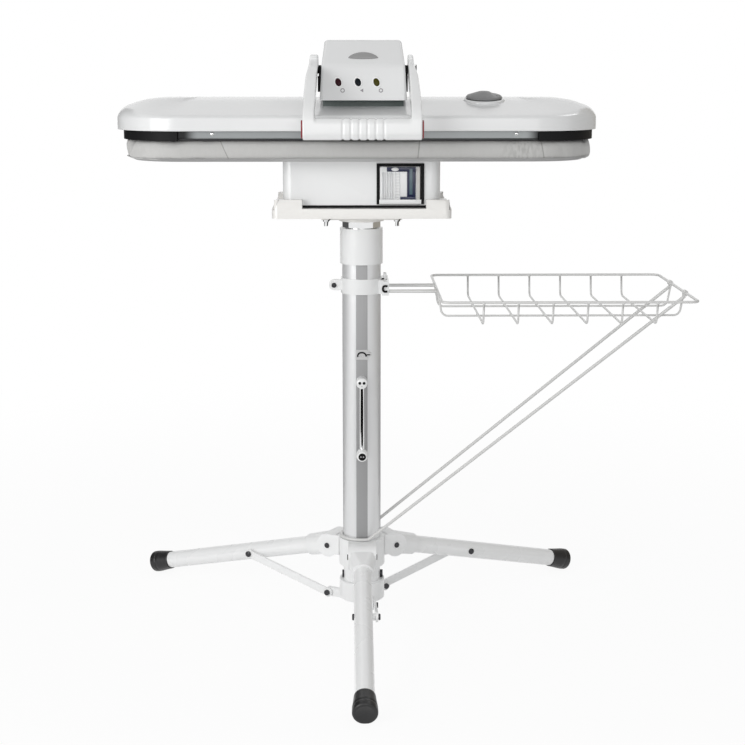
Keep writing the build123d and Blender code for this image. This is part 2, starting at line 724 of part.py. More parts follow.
# Pivot studs for the handle stand out of the console sides.
pivot_y = -52.0
pivot_height = lip - 8
for side in (-1, 1):
    x = console_x + side * console_half
    console -= rod((x - side * 13, pivot_y, pivot_height), (x + side, pivot_y, pivot_height), 6)
console -= cover_outer
for bezel in bezels:
    console += bezel
save(console, "console_shell")
studs = []
stud_plate = {-1: 3.2, 1: 1.6}
for side in (-1, 1):
    x = console_x + side * console_half
    stud = rod((x - side * 13, pivot_y, pivot_height), (x + side * arm_width, pivot_y, pivot_height), 6)
    stud += rod((x + side * (arm_gap + arm_width + 0.3), pivot_y, pivot_height),
                (x + side * (arm_gap + arm_width + 1.7), pivot_y, pivot_height), 9)
    stud += rod((x, pivot_y, pivot_height),
                (x + side * (arm_gap + arm_width + 1), pivot_y, pivot_height), 6)
    plates = block(x - side * 6, x + side * 1.6, pivot_y - 14, pivot_y + 10,
                   pivot_height - 12, pivot_height + 8)
    plates += block(x - side * 6, x + side * stud_plate[side], pivot_y - 26, pivot_y + 6,
                    pivot_height - 36, pivot_height - 10)
    stud += plates - outer_console
    studs.append(stud)
save(Compound(children=studs), "handle_studs")

# The temperature dial turns on its seat on the cover.
dial_foot = 2.6
dial_profile = [(0, -9), (5.7, -9), (5.7, dial_foot), (dial_radius - 1.5, dial_foot),
                (dial_radius, dial_foot + 1.5), (dial_radius - 2, dial_foot + 4.4), (19, 10.6),
                (10, 13.6), (0, 14.6)]
dial = revolve(make_face(Plane.XZ * Polyline(*dial_profile, close=True)), Axis.Z, 360)
dial -= rod((20, -40, 21), (20, 40, 21), 13)
dial += Pos(23, -3, 7.6) * Cylinder(2.6, 2.4)
save(dial_place * dial, "temperature_dial")


# The handle is a yoke: two side arms and a front grip bar.
def arm_side(side):
    """One side arm that sweeps down from its pivot into the end of the grip."""
    front = -grip_reach - 14
    upper = Spline((front, grip_z + 4), (front + 4, grip_z + 24), (front + 40, cover_crease + 37),
                   (pivot_y - 60, pivot_height), (pivot_y - 14, pivot_height + 20),
                   (pivot_y + 6, pivot_height + 26), tangents=[(0, 1), (1, 0)])
    tail = ThreePointArc((pivot_y + 6, pivot_height + 26), (pivot_y + 25, pivot_height + 9),
                         (pivot_y + 14, pivot_height - 12))
    lower = Spline((pivot_y + 14, pivot_height - 12), (pivot_y - 14, pivot_height - 19),
                   (pivot_y - 66, cover_crease + 24), (front + 48, cover_crease + 10),
                   (front + 26, grip_z + 6))
    root = Line((front + 26, grip_z + 6), (front, grip_z + 4))
    face = make_face(Plane.YZ * (upper + tail + lower + root))
    shape = Pos(-grip_half - 30, 0, 0) * extrude(face, 2 * grip_half + 60, dir=(1, 0, 0))
    # Seen from the front, the arm widens from its tail down to the grip.
    gap = arm_inner_gap[side]
    inner = [(gap[0], pivot_height + 40), (gap[0], pivot_height + 6), (gap[1], pivot_height - 9),
             (gap[2], cover_crease + 30), (gap[3], cover_crease + 4), (gap[3], grip_z - 30)]
    end = grip_half + side * (grip_mid - console_x) - console_half
    outer = [(end, grip_z - 30), (end, cover_crease - 4), (end - 1.2, cover_crease + 34),
             (end - 4, pivot_height - 8), (end - 7.5, pivot_height + 8), (end - 12, pivot_height + 40)]
    points = [(console_x + side * (console_half + x), z) for x, z in inner + outer]
    face = make_face(Plane.XZ * Polyline(*points, close=True))
    shape &= Pos(0, 400, 0) * extrude(face, 800, dir=(0, -1, 0))
    x = console_x + side * console_half
    shape -= rod((x - side * 5, pivot_y, pivot_height), (x + side * 60, pivot_y, pivot_height), 6.3)
    stop = x + side * (arm_gap + arm_width)
    shape -= rod((stop, pivot_y, pivot_height), (stop + side * 30, pivot_y, pivot_height), 9.6)
    return shape


arm_inner_gap = {-1: (2.2, 4.2, 5.6, 6.5), 1: (2.2, 2.6, 2.8, 3.0)}
grip_mid = 0.0
grip_left = grip_mid - grip_half
grip_right = grip_mid + grip_half


def grip_section(length, shrink):
    """Rounded bar of the grip, centred on the grip."""
    face = Plane.YZ * RectangleRounded(28 - 2 * shrink, 35 - 2 * shrink, 11 - shrink)
    return Pos(grip_mid - length / 2, -grip_reach, grip_z) * extrude(face, length, dir=(1, 0, 0))


yoke = grip_section(grip_right - grip_left, 0)
for notch in range(6):
    ring = grip_section(2.2, -3) - grip_section(3, 1.0)
    yoke -= Pos(console_x - 34.5 + 13.4 * notch - grip_mid, 0, 0) * ring
for side in (-1, 1):
    yoke += arm_side(side)
save(yoke, "handle_yoke")
accents = []
for side in (-1, 1):
    outer = grip_left if side < 0 else grip_right
    disc = extrude(Plane.YZ * RectangleRounded(22, 29, 8), 2.4, dir=(side, 0, 0))
    accents.append(Pos(outer, -grip_reach, grip_z) * disc)
save(Compound(children=accents), "handle_accents")

# The clamp ring turns on the column and carries the basket arms.
arm_half = 36.0
ring_wall = 2.1
ring_outer = column_radius + run_gap + ring_wall
ring_mid = (ring_bottom + ring_top) / 2
lug_x = -49.0
lug_radius = 9.0
ring = pipe(ring_outer, column_radius + run_gap, ring_bottom, ring_top)
lug = block(lug_x, -ring_outer + 1, -8, 8, ring_mid - lug_radius, ring_mid + lug_radius)
ring += lug + rod((lug_x, -8, ring_mid), (lug_x, 8, ring_mid), lug_radius)
bracket = block(36, 48, -arm_half - 5, arm_half + 5, ring_bottom, ring_top - 3)
bracket += block(20, 37, -22, 22, ring_bottom, ring_top - 3)
ring += bracket - post(column_radius + run_gap, ring_bottom - 1, ring_top + 1)
for y in (-8, 8):
    ring += post(2.5, ring_top - 4, ring_top + 7, 42, y)
ring -= block(lug_x - lug_radius - 1, -ring_outer - 1, -1.2, 1.2, ring_mid - 20, ring_mid + 20)
for y in (-arm_half, arm_half):
    ring -= rod((38, y, basket_z), (60, y, basket_z), 3)
ring -= rod((lug_x, -20, ring_mid), (lug_x, 20, ring_mid), 3)
save(ring, "clamp_ring")
bolt = rod((lug_x, -9, ring_mid), (lug_x, 9, ring_mid), 3)
bolt += rod((lug_x, -10.4, ring_mid), (lug_x, -8, ring_mid), 4.4)
bolt += rod((lug_x, 8, ring_mid), (lug_x, 11, ring_mid), 5.4)
save(bolt, "clamp_bolt")

# The basket: a rim, six ribs and two long rods of wire.
corner = 14.0
rim_shape = Pos((basket_near + basket_far) / 2, 0, basket_z) * RectangleRounded(
    basket_far - basket_near, 2 * basket_half, corner)
rim_wire = rim_shape.wire()
section = Plane(origin=rim_wire @ 0, z_dir=rim_wire % 0) * Circle(rail_radius)
rim = sweep(section, path=rim_wire)
for y in (-arm_half, arm_half):
    rim += rod((38, y, basket_z), (basket_near, y, basket_z), 3)
save(rim, "basket_rim")
ribs = []
rib_low = basket_z - basket_drop
rib_pitch = (basket_far - basket_near) * 0.1354
rib_first = (basket_near + basket_far) / 2 - rib_pitch * (rib_count - 1) / 2
for index in range(rib_count):
    x = rib_first + rib_pitch * index
    y = basket_half
    rib = bent_rod([(x, -y, basket_z), (x, -y + 8, rib_low), (x, y - 8, rib_low), (x, y, basket_z)],
                   rib_radius, 12)
    ribs.append(rib - rim)
save(Compound(children=ribs), "basket_ribs")

rods = []
rod_low = rib_low - 2 * rib_radius
for y in (-52.0, 52.0):
    path = bent_rod([(basket_near, y, basket_z), (basket_near + 7, y, rod_low),
                     (basket_far - 7, y, rod_low), (basket_far, y, basket_z)], rib_radius, 12)
    rods.append(path - rim)
save(Compound(children=rods), "basket_rods")

# The brace is one wire from the basket end round the foot of the column.
brace_radius = 2.8
loop_radius = column_radius + run_gap + brace_radius + 0.3
loop_z = hub_top + run_gap + brace_radius + 0.3
brace_x = 12.0
loop_y = math.sqrt(loop_radius ** 2 - brace_x ** 2)
loop = Pos(0, 0, loop_z) * Torus(loop_radius, brace_radius)
loop -= block(brace_x, 80, -80, 80, loop_z - 20, loop_z + 20)
brace = loop
hook_y = 60.0
hook_z = basket_z - rail_radius - brace_radius - 1.2
for side in (-1, 1):
    low_end = (brace_x, side * loop_y, loop_z)
    high_end = (basket_far, side * hook_y, hook_z)
    brace += rod(low_end, high_end, brace_radius)
    brace += Pos(*low_end) * Sphere(brace_radius + 0.2)
hooks = []
for side in (-1, 1):
    hook = rod((basket_far, side * hook_y - 5, basket_z),
               (basket_far, side * hook_y + 5, basket_z), 4.6)
    hook -= rim
    hook += rod((basket_far, side * hook_y, basket_z - 3), (basket_far, side * hook_y, hook_z), 3.4)
    hooks.append(hook)
for hook in hooks:
    brace += hook
save(brace - rim, "basket_brace")
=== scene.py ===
import json
import math
import bmesh
import bpy
from mathutils import Matrix, Vector
from mathutils import noise

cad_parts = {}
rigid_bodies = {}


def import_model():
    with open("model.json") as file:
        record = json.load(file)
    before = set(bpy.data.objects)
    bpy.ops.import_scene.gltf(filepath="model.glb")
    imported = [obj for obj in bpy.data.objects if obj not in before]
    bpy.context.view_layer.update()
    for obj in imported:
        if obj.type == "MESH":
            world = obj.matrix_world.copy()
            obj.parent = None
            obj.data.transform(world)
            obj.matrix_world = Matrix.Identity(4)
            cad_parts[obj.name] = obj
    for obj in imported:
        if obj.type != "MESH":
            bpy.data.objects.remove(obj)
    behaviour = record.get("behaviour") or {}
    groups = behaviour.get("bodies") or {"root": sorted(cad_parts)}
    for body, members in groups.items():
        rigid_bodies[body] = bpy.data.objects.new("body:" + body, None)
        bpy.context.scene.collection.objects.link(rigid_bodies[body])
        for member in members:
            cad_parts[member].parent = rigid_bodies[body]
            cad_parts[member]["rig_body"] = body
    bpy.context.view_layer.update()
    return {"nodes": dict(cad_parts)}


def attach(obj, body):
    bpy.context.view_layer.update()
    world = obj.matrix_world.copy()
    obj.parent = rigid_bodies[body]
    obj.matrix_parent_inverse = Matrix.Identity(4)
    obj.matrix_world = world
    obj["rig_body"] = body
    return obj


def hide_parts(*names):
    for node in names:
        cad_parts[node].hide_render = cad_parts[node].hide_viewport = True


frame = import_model()

# Column
# An extruded aluminium tube with a flat grey inlay down its front. Fine drawing lines run along it,
# and the inlay is a separate anodised strip slid into the flat.


def node_group(name, inputs, outputs):
    """An empty shader group with its inputs and outputs."""
    group = bpy.data.node_groups.new(name, "ShaderNodeTree")
    for label, kind, value in inputs:
        socket = group.interface.new_socket(name=label, in_out="INPUT", socket_type=kind)
        socket.default_value = value
    for label, kind in outputs:
        group.interface.new_socket(name=label, in_out="OUTPUT", socket_type=kind)
    return group, group.nodes.new("NodeGroupInput"), group.nodes.new("NodeGroupOutput")


def add(tree, kind, **settings):
    """A node with its settings; a setting that names an input fills that input."""
    node = tree.nodes.new(kind)
    for key, value in settings.items():
        label = key.replace("_", " ")
        if hasattr(node, key):
            setattr(node, key, value)
        else:
            node.inputs[label].default_value = value
    return node


def surface_group(name, stretch):
    """Colour, roughness and height for a surface whose marks are stretched along an axis."""
    group, given, made = node_group(
        name,
        [("Colour", "NodeSocketColor", (0.8, 0.8, 0.8, 1)), ("Roughness", "NodeSocketFloat", 0.4),
         ("Fine scale", "NodeSocketFloat", 900.0), ("Cloud scale", "NodeSocketFloat", 9.0),
         ("Tone", "NodeSocketFloat", 0.05), ("Haze", "NodeSocketFloat", 0.08)],
        [("Colour", "NodeSocketColor"), ("Roughness", "NodeSocketFloat"), ("Height", "NodeSocketFloat")])
    links = group.links
    place = add(group, "ShaderNodeTexCoord")
    turn = add(group, "ShaderNodeMapping", Scale=stretch)
    fine = add(group, "ShaderNodeTexNoise", Detail=3.0)
    cloud = add(group, "ShaderNodeTexNoise", Detail=4.0)
    links.new(place.outputs["Object"], turn.inputs["Vector"])
    links.new(turn.outputs["Vector"], fine.inputs["Vector"])
    links.new(place.outputs["Object"], cloud.inputs["Vector"])
    links.new(given.outputs["Fine scale"], fine.inputs["Scale"])
    links.new(given.outputs["Cloud scale"], cloud.inputs["Scale"])
    both = add(group, "ShaderNodeMath", operation="ADD")
    links.new(fine.outputs["Fac"], both.inputs[0])
    links.new(cloud.outputs["Fac"], both.inputs[1])
    less = add(group, "ShaderNodeMath", operation="MULTIPLY")
    links.new(both.outputs[0], less.inputs[0])
    links.new(given.outputs["Tone"], less.inputs[1])
    keep = add(group, "ShaderNodeMath", operation="SUBTRACT")
    keep.inputs[0].default_value = 1.0
    links.new(less.outputs[0], keep.inputs[1])
    tint = add(group, "ShaderNodeVectorMath", operation="SCALE")
    links.new(given.outputs["Colour"], tint.inputs[0])
    links.new(keep.outputs[0], tint.inputs["Scale"])
    rough = add(group, "ShaderNodeMath", operation="MULTIPLY_ADD")
    links.new(cloud.outputs["Fac"], rough.inputs[0])
    links.new(given.outputs["Haze"], rough.inputs[1])
    links.new(given.outputs["Roughness"], rough.inputs[2])
    links.new(tint.outputs[0], made.inputs["Colour"])
    links.new(rough.outputs[0], made.inputs["Roughness"])
    links.new(fine.outputs["Fac"], made.inputs["Height"])
    return group


drawn_lines = surface_group("drawn_lines", (1.0, 1.0, 0.006))
moulded_grain = surface_group("moulded_grain", (1.0, 1.0, 1.0))


def finish_with(group, name, colour, roughness, fine, cloud, tone, haze, bump, **sockets):
    """A material whose colour, roughness and bump come from one surface group."""
    material = bpy.data.materials.new(name)
    material.use_nodes = True
    tree = material.node_tree
    shader = tree.nodes["Principled BSDF"]
    surface = add(tree, "ShaderNodeGroup", node_tree=group)
    surface.inputs["Colour"].default_value = (*colour, 1.0)
    surface.inputs["Roughness"].default_value = roughness
    surface.inputs["Fine scale"].default_value = fine
    surface.inputs["Cloud scale"].default_value = cloud
    surface.inputs["Tone"].default_value = tone
    surface.inputs["Haze"].default_value = haze
    height = add(tree, "ShaderNodeBump", Strength=0.35, Distance=bump)
    tree.links.new(surface.outputs["Colour"], shader.inputs["Base Color"])
    tree.links.new(surface.outputs["Roughness"], shader.inputs["Roughness"])
    tree.links.new(surface.outputs["Height"], height.inputs["Height"])
    tree.links.new(height.outputs["Normal"], shader.inputs["Normal"])
    for key, value in sockets.items():
        shader.inputs[key.replace("_", " ")].default_value = value
    return material


def finished(node, material, slot_name, width=0.0, segments=2, angle=38.0):
    """The CAD piece with its doubles merged, smooth round faces and soft edges of the given width."""
    source = frame["nodes"][node]
    bm = bmesh.new()
    bm.from_mesh(source.data)
    bmesh.ops.remove_doubles(bm, verts=bm.verts, dist=2e-6)
    bmesh.ops.dissolve_limit(bm, angle_limit=math.radians(0.4), verts=bm.verts, edges=bm.edges)
    mesh = bpy.data.meshes.new(node + "_finished")
    bm.to_mesh(mesh)
    bm.free()
    return shown(mesh, node + "_finished", material, source["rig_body"], slot_name, [node], width, segments, angle)


def shown(mesh, name, material, body, slot_name, stands_for=(), width=0.0, segments=2, angle=38.0):
    """Put a mesh in the scene, on its body, with smooth shading and soft edges."""
    mesh.materials.clear()
    mesh.materials.append(material)
    mesh.shade_smooth()
    mesh.set_sharp_from_angle(angle=math.radians(angle))
    piece = bpy.data.objects.new(name, mesh)
    bpy.context.scene.collection.objects.link(piece)
    if width:
        edge = piece.modifiers.new("soft_edge", "BEVEL")
        edge.width = width
        edge.segments = segments
        edge.limit_method = "ANGLE"
        edge.angle_limit = math.radians(angle)
        edge.harden_normals = True
        edge.miter_outer = "MITER_ARC"
    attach(piece, body)
    if stands_for:
        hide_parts(*stands_for)
    return piece


def made(bm, name, material, body, slot_name, stands_for=(), width=0.0, segments=2, angle=38.0):
    """Turn a bmesh into a piece on its body."""
    mesh = bpy.data.meshes.new(name)
    bm.to_mesh(mesh)
    bm.free()
    return shown(mesh, name, material, body, slot_name, stands_for, width, segments, angle)


column_metal = finish_with(drawn_lines, "satin_aluminium", (0.8, 0.805, 0.81), 0.32, 1500, 5, 0.04, 0.1, 0.00006,
                           Metallic=0.4)
inlay_metal = finish_with(drawn_lines, "grey_anodised", (0.40, 0.40, 0.405), 0.4, 1800, 7, 0.1, 0.1, 0.00006,
                          Metallic=0.25)
finished("column_tube", column_metal, "column")


def bar(x0, x1, y0, y1, z0, z1, soft=0.0, segments=2):
    """A bar between two corners with rounded edges."""
    bm = bmesh.new()
    bmesh.ops.create_cube(bm, size=1.0)
    bmesh.ops.scale(bm, vec=(x1 - x0, y1 - y0, z1 - z0), verts=bm.verts)
    bmesh.ops.translate(bm, vec=((x0 + x1) / 2, (y0 + y1) / 2, (z0 + z1) / 2), verts=bm.verts)
    if soft:
        bmesh.ops.bevel(bm, geom=bm.edges[:], offset=soft, affect="EDGES", segments=segments, profile=0.5, material=-1)
    return bm


flat_y = -0.0327
inlay = bar(-0.0102, 0.0102, flat_y - 0.0006, flat_y + 0.001, 0.1, 0.658, 0.0004)
made(inlay, "column_inlay", inlay_metal, "stand", "column")

# Top collar
# A glossy white moulded cap pressed over the top of the column. It guides the mast.
white_gloss = finish_with(moulded_grain, "white_gloss", (0.86, 0.866, 0.866), 0.18, 700, 8, 0.012, 0.06, 0.00003,
                          Coat_Weight=0.35, Coat_Roughness=0.12)
finished("column_collar", white_gloss, "white_plastic", 0.0014, 3)

# Tripod hub, legs and struts
# The hub and the leg roots are white castings, the legs white coated steel tube and the struts flat bar.
# Dark bolts hold them, and each leg ends in a glossy black rubber cap.
white_cast = finish_with(moulded_grain, "white_casting", (0.92, 0.925, 0.925), 0.3, 420, 14, 0.02, 0.08, 0.00008)
white_coat = finish_with(moulded_grain, "white_coat", (0.93, 0.935, 0.935), 0.24, 380, 18, 0.018, 0.08, 0.00007,
                         Coat_Weight=0.25, Coat_Roughness=0.2)
bolt_metal = finish_with(moulded_grain, "dark_bolt", (0.07, 0.07, 0.075), 0.28, 1400, 60, 0.25, 0.2, 0.00005,
                         Metallic=0.8)
rubber = finish_with(moulded_grain, "black_rubber", (0.016, 0.016, 0.017), 0.2, 900, 60, 0.3, 0.35, 0.0002)
finished("tripod_hub", white_cast, "white_metal", 0.002, 3)
finished("leg_pivot_bolts", bolt_metal, "dark_metal", 0.0008)


def spun(profile, steps=48):
    """A profile of radius and height points spun about Z."""
    bm = bmesh.new()
    chain = [bm.verts.new((radius, 0.0, height)) for radius, height in profile]
    edges = [bm.edges.new(pair) for pair in zip(chain, chain[1:])]
    bmesh.ops.spin(bm, geom=chain + edges, axis=(0, 0, 1), cent=(0, 0, 0), steps=steps,
                   angle=math.tau, use_merge=True)
    bmesh.ops.remove_doubles(bm, verts=bm.verts, dist=1e-6)
    bmesh.ops.recalc_face_normals(bm, faces=bm.faces)
    return bm


leg_turns = {"front": -90.0, "right": 30.0, "left": 150.0}
leg_slope = math.radians(14.7)
leg_root = (0.060, 0.0, 0.128)
foot_length = (0.480 - leg_root[0]) / math.cos(leg_slope)
foot_profile = [(0.0160, -0.0420), (0.0172, -0.0420), (0.0177, -0.0414), (0.0178, -0.0398), (0.0187, -0.0300),
                (0.0198, -0.0200), (0.0204, -0.0152), (0.0199, -0.0142), (0.0199, -0.0134), (0.0205, -0.0126),
                (0.0206, -0.0110), (0.0206, -0.0036), (0.0203, -0.0022), (0.0194, -0.0008), (0.0181, 0.0),
                (0.0150, 0.0), (0.0140, -0.0008), (0.0, -0.0008)]
bolt_cap = [(0.0, 0.0), (0.0044, -0.0001), (0.0056, -0.0010), (0.0056, -0.0034), (0.0, -0.0034)]
for side, turn in leg_turns.items():
    leg_place = (Matrix.Rotation(math.radians(turn), 4, "Z") @ Matrix.Translation(leg_root)
                 @ Matrix.Rotation(leg_slope, 4, "Y"))
    for label, out, way in (("near", 0.0294, -1), ("far", -0.0192, 1)):
        cap = spun(bolt_cap, 24)
        bmesh.ops.transform(cap, matrix=leg_place @ Matrix.Translation((0.1818, out, 0))
                            @ Matrix.Rotation(way * math.pi / 2, 4, "X"), verts=cap.verts)
        made(cap, "strut_bolt_%s_%s" % (side, label), bolt_metal, "leg_" + side, "dark_metal", angle=50)
    finished("leg_knuckle_" + side, white_cast, "white_plastic", 0.002, 3)
    finished("leg_tube_" + side, white_coat, "white_metal", 0.0004)
    finished("strut_" + side, white_coat, "white_metal", 0.0008)
    foot = spun(foot_profile)
    bmesh.ops.transform(foot, matrix=Matrix.Translation((foot_length, 0, 0)) @ Matrix.Rotation(math.pi / 2, 4, "Y"),
                        verts=foot.verts)
    bmesh.ops.transform(foot, matrix=leg_place, verts=foot.verts)
    cut = bmesh.ops.bisect_plane(foot, geom=foot.verts[:] + foot.edges[:] + foot.faces[:], plane_co=(0, 0, 0.0002),
                                 plane_no=(0, 0, -1), clear_outer=True)
    bmesh.ops.holes_fill(foot, edges=[e for e in cut["geom_cut"] if isinstance(e, bmesh.types.BMEdge)], sides=0)
    made(foot, "rubber_foot_" + side, rubber, "leg_" + side, "black_rubber", ["leg_foot_" + side], angle=50)

# Runner and lower collar
# The white tube under the hub slides up into the column, and its collar carries the three struts.
finished("runner_tube", white_coat, "white_metal")
finished("lower_collar", white_cast, "white_plastic", 0.0016, 3)
finished("collar_bolts", bolt_metal, "dark_metal", 0.0006)

# Crank
# A chromed arm with a white cap on its hub, and an egg-shaped knob that turns on its pin and has a dark end.
chrome = finish_with(moulded_grain, "chrome", (0.82, 0.825, 0.83), 0.02, 1200, 20, 0.02, 0.04, 0.00001, Metallic=1.0)
steel = finish_with(drawn_lines, "plain_steel", (0.55, 0.55, 0.56), 0.3, 900, 15, 0.15, 0.15, 0.00005, Metallic=0.9)
dark_end = finish_with(moulded_grain, "dark_moulding", (0.008, 0.008, 0.009), 0.5, 800, 40, 0.2, 0.15, 0.00006,
                       Specular_IOR_Level=0.15)
finished("crank_spindle", steel, "chrome", 0.0004)
finished("crank_arm", chrome, "chrome", 0.0023, 5)
crank_y = -0.0485
crank_high = 0.449
crank_low = crank_high - 0.1265
facing_user = Matrix.Rotation(math.pi / 2, 4, "X")


def turned_part(profile, place, name, material, body, slot_name, stands_for=()):
    """A turned piece whose axis points to the user."""
    bm = spun(profile)
    bmesh.ops.transform(bm, matrix=Matrix.Translation(place) @ facing_user, verts=bm.verts)
    made(bm, name, material, body, slot_name, stands_for, angle=60)


hub_cap = [(0.0, 0.0073), (0.0060, 0.0072), (0.0084, 0.0066), (0.0095, 0.0054), (0.0098, 0.0040), (0.0098, -0.0079),
           (0.0093, -0.0079), (0.0093, 0.0061), (0.0, 0.0061)]
turned_part(hub_cap, (0, crank_y, crank_high), "crank_hub_cap", white_gloss, "crank", "white_plastic")
rivet = [(0.0, 0.0009), (0.0018, 0.0008), (0.0026, 0.0003), (0.0027, -0.0006), (0.0, -0.0006)]
small_rivet = [(0.0, 0.0008), (0.0008, 0.0007), (0.0013, 0.0003), (0.0014, -0.0006), (0.0, -0.0006)]
for number, x in enumerate((-0.0036, 0.0038)):
    turned_part(rivet, (x, crank_y - 0.0070, crank_high + 0.001), "crank_hub_rivet_%d" % number, dark_end, "crank",
                "dark_metal")
turned_part(small_rivet, (0, crank_y - 0.0067, crank_high - 0.0045), "crank_hub_pin", steel, "crank", "chrome")
knob_profile = [(0.0036, 0.0), (0.0072, 0.0), (0.0086, 0.0012), (0.0098, 0.006), (0.0106, 0.012), (0.0108, 0.017),
                (0.0104, 0.0225), (0.0094, 0.0266), (0.0084, 0.0284), (0.0074, 0.0290), (0.0040, 0.0290),
                (0.0036, 0.0284), (0.0036, 0.0)]
knob_place = (0, crank_y - 0.0066, crank_low)
turned_part(knob_profile, knob_place, "crank_knob_grip", white_gloss, "crank_knob", "white_plastic", ["crank_knob"])
end_profile = [(0.0, 0.0299), (0.0040, 0.0302), (0.0056, 0.0301), (0.0066, 0.0295), (0.0066, 0.0270), (0.0, 0.0270)]
turned_part(end_profile, knob_place, "crank_knob_end", dark_end, "crank_knob", "dark_metal")
for number, x in enumerate((-0.0022, 0.0022)):
    turned_part(small_rivet, (x, crank_y - 0.0367, crank_low + 0.0002), "crank_knob_rivet_%d" % number, steel,
                "crank_knob", "chrome")

# Latch
# A small moulded plate above the crank holds a bent black wire clip and its tail.
light_grey = finish_with(moulded_grain, "light_grey_moulding", (0.62, 0.62, 0.62), 0.35, 800, 30, 0.05, 0.1, 0.00006)
finished("latch_plate", light_grey, "grey_plastic", 0.0005)


def wire(points, radius):
    """A round wire along a smooth line through the space between points."""
    data = bpy.data.curves.new("wire_line", "CURVE")
    data.dimensions = "3D"
    data.bevel_depth = radius
    data.bevel_resolution = 2
    data.use_fill_caps = True
    data.resolution_u = 5
    line = data.splines.new("NURBS")
    line.points.add(len(points) - 1)
    for point, place in zip(line.points, points):
        point.co = (*place, 1.0)
    line.order_u = 3
    line.use_endpoint_u = True
    holder = bpy.data.objects.new("wire_line", data)
    mesh = bpy.data.meshes.new_from_object(holder)
    bm = bmesh.new()
    bm.from_mesh(mesh)
    bpy.data.objects.remove(holder)
    bpy.data.meshes.remove(mesh)
    bmesh.ops.remove_doubles(bm, verts=bm.verts, dist=1e-6)
    bmesh.ops.recalc_face_normals(bm, faces=bm.faces)
    return bm


latch_z = crank_high + 0.0485
clip_y = flat_y - 0.0026
arch = [(-0.0078, -0.0036), (-0.0070, 0.0006), (-0.0036, 0.0040), (0.0036, 0.0040), (0.0070, 0.0006), (0.0080, -0.0030)]
tail = [(0.0074, -0.0004), (0.0110, 0.0004), (0.0150, 0.0002)]
for name, line, radius in (("latch_arch", arch, 0.0014), ("latch_tail", tail, 0.0011)):
    clip = wire([(x, clip_y, latch_z + up) for x, up in line], radius)
    made(clip, name, dark_end, "stand", "dark_metal", angle=60)

# Mast
# The chromed steel mast telescopes in the column under the press; its rack is inside.
finished("mast_tube", chrome, "chrome", 0.0003)
finished("mast_rack", steel, "spring_steel")

# Top plate and tray
# A pressed mounting plate under a moulded tray with four raised corner blocks that hold the base.
# Two small wire hooks hang under it.
warm_gloss = finish_with(moulded_grain, "warm_white_gloss", (0.875, 0.862, 0.835), 0.22, 700, 8, 0.012, 0.06,
                         0.00003, Coat_Weight=0.3, Coat_Roughness=0.15)
finished("top_plate", warm_gloss, "warm_white", 0.001, 2)
tray = finished("tray", warm_gloss, "warm_white", 0.0048, 5)
tray_cut = bmesh.new()
tray_cut.from_mesh(tray.data)
bmesh.ops.bisect_plane(tray_cut, geom=tray_cut.verts[:] + tray_cut.edges[:] + tray_cut.faces[:],
                       plane_co=(0, 0, 0.7600), plane_no=(0, 0, 1))
for vert in tray_cut.verts:
    if vert.co.z > 0.7765:
        vert.co.x -= math.copysign(0.0085, vert.co.x) if abs(vert.co.x) > 0.150 else 0.0
        vert.co.y -= math.copysign(0.0060, vert.co.y) if abs(vert.co.y) > 0.086 else 0.0
tray_cut.to_mesh(tray.data)
tray_cut.free()
finished("tray_screws", chrome, "chrome", 0.0004)
for number, x in enumerate((-0.0590, 0.0625)):
    hook = wire([(x + 0.006, -0.06, 0.7460), (x + 0.004, -0.06, 0.7400), (x, -0.06, 0.7385), (x - 0.0004, -0.06, 0.7300)],
                0.0010)
    made(hook, "tray_hook_%d" % number, dark_end, "press", "dark_metal", angle=60)

# Base
# The moulded base box stands in the tray on a black strip; its black is painted shade of the slot under
# the base. It holds the pump, the board of the electronics and the water tank.
grey_moulding = finish_with(moulded_grain, "grey_moulding", (0.23, 0.232, 0.235), 0.38, 800, 30, 0.06, 0.12, 0.00008)
black_moulding = finish_with(moulded_grain, "black_moulding", (0.010, 0.010, 0.011), 0.42, 800, 30, 0.2, 0.15, 0.00006,
                             Specular_IOR_Level=0.12)
finished("base_shell", white_gloss, "white_plastic", 0.002, 3)
finished("base_bottom", white_gloss, "white_plastic", 0.0006)


def rounded_ring(bm, half_x, half_y, corner, middle_x, z, steps, cuts):
    """A closed ring of edges round a rounded rectangle; the long sides get extra cuts."""
    bmesh.ops.create_circle(bm, segments=4 * steps, radius=corner, cap_ends=False,
                            matrix=Matrix.Rotation(math.pi / (4 * steps), 4, "Z"))
    for vert in bm.verts:
        vert.co.x += math.copysign(half_x - corner, vert.co.x)
        vert.co.y += math.copysign(half_y - corner, vert.co.y)
    if cuts:
        long_edges = [e for e in bm.edges if abs(e.verts[0].co.x - e.verts[1].co.x) > half_x]
        bmesh.ops.subdivide_edges(bm, edges=long_edges, cuts=cuts)
    bmesh.ops.translate(bm, vec=(middle_x, 0, z), verts=bm.verts)
    return bm.edges[:]


# A black strip under the base box: its black is painted shade of the slot between the base and the tray.
shade_strip = bmesh.new()
rounded_ring(shade_strip, 0.1327, 0.0692, 0.0152, 0.0, 0.7618, 6, 0)
bmesh.ops.holes_fill(shade_strip, edges=shade_strip.edges, sides=0)
lift = bmesh.ops.extrude_face_region(shade_strip, geom=shade_strip.faces[:])
bmesh.ops.translate(shade_strip, vec=(0, 0, 0.0049), verts=[v for v in lift["geom"] if isinstance(v, bmesh.types.BMVert)])
bmesh.ops.recalc_face_normals(shade_strip, faces=shade_strip.faces)
made(shade_strip, "base_shade_strip", black_moulding, "press", "black_rubber")
finished("window_frame", black_moulding, "black_plastic", 0.0006)
finished("steam_pump", grey_moulding, "grey_plastic", 0.0005)
circuit_green = finish_with(moulded_grain, "circuit_board", (0.02, 0.09, 0.035), 0.4, 300, 90, 0.4, 0.2, 0.0001)
finished("circuit_board", circuit_green, "circuit")
finished("power_inlet", rubber, "black_rubber", 0.0005)

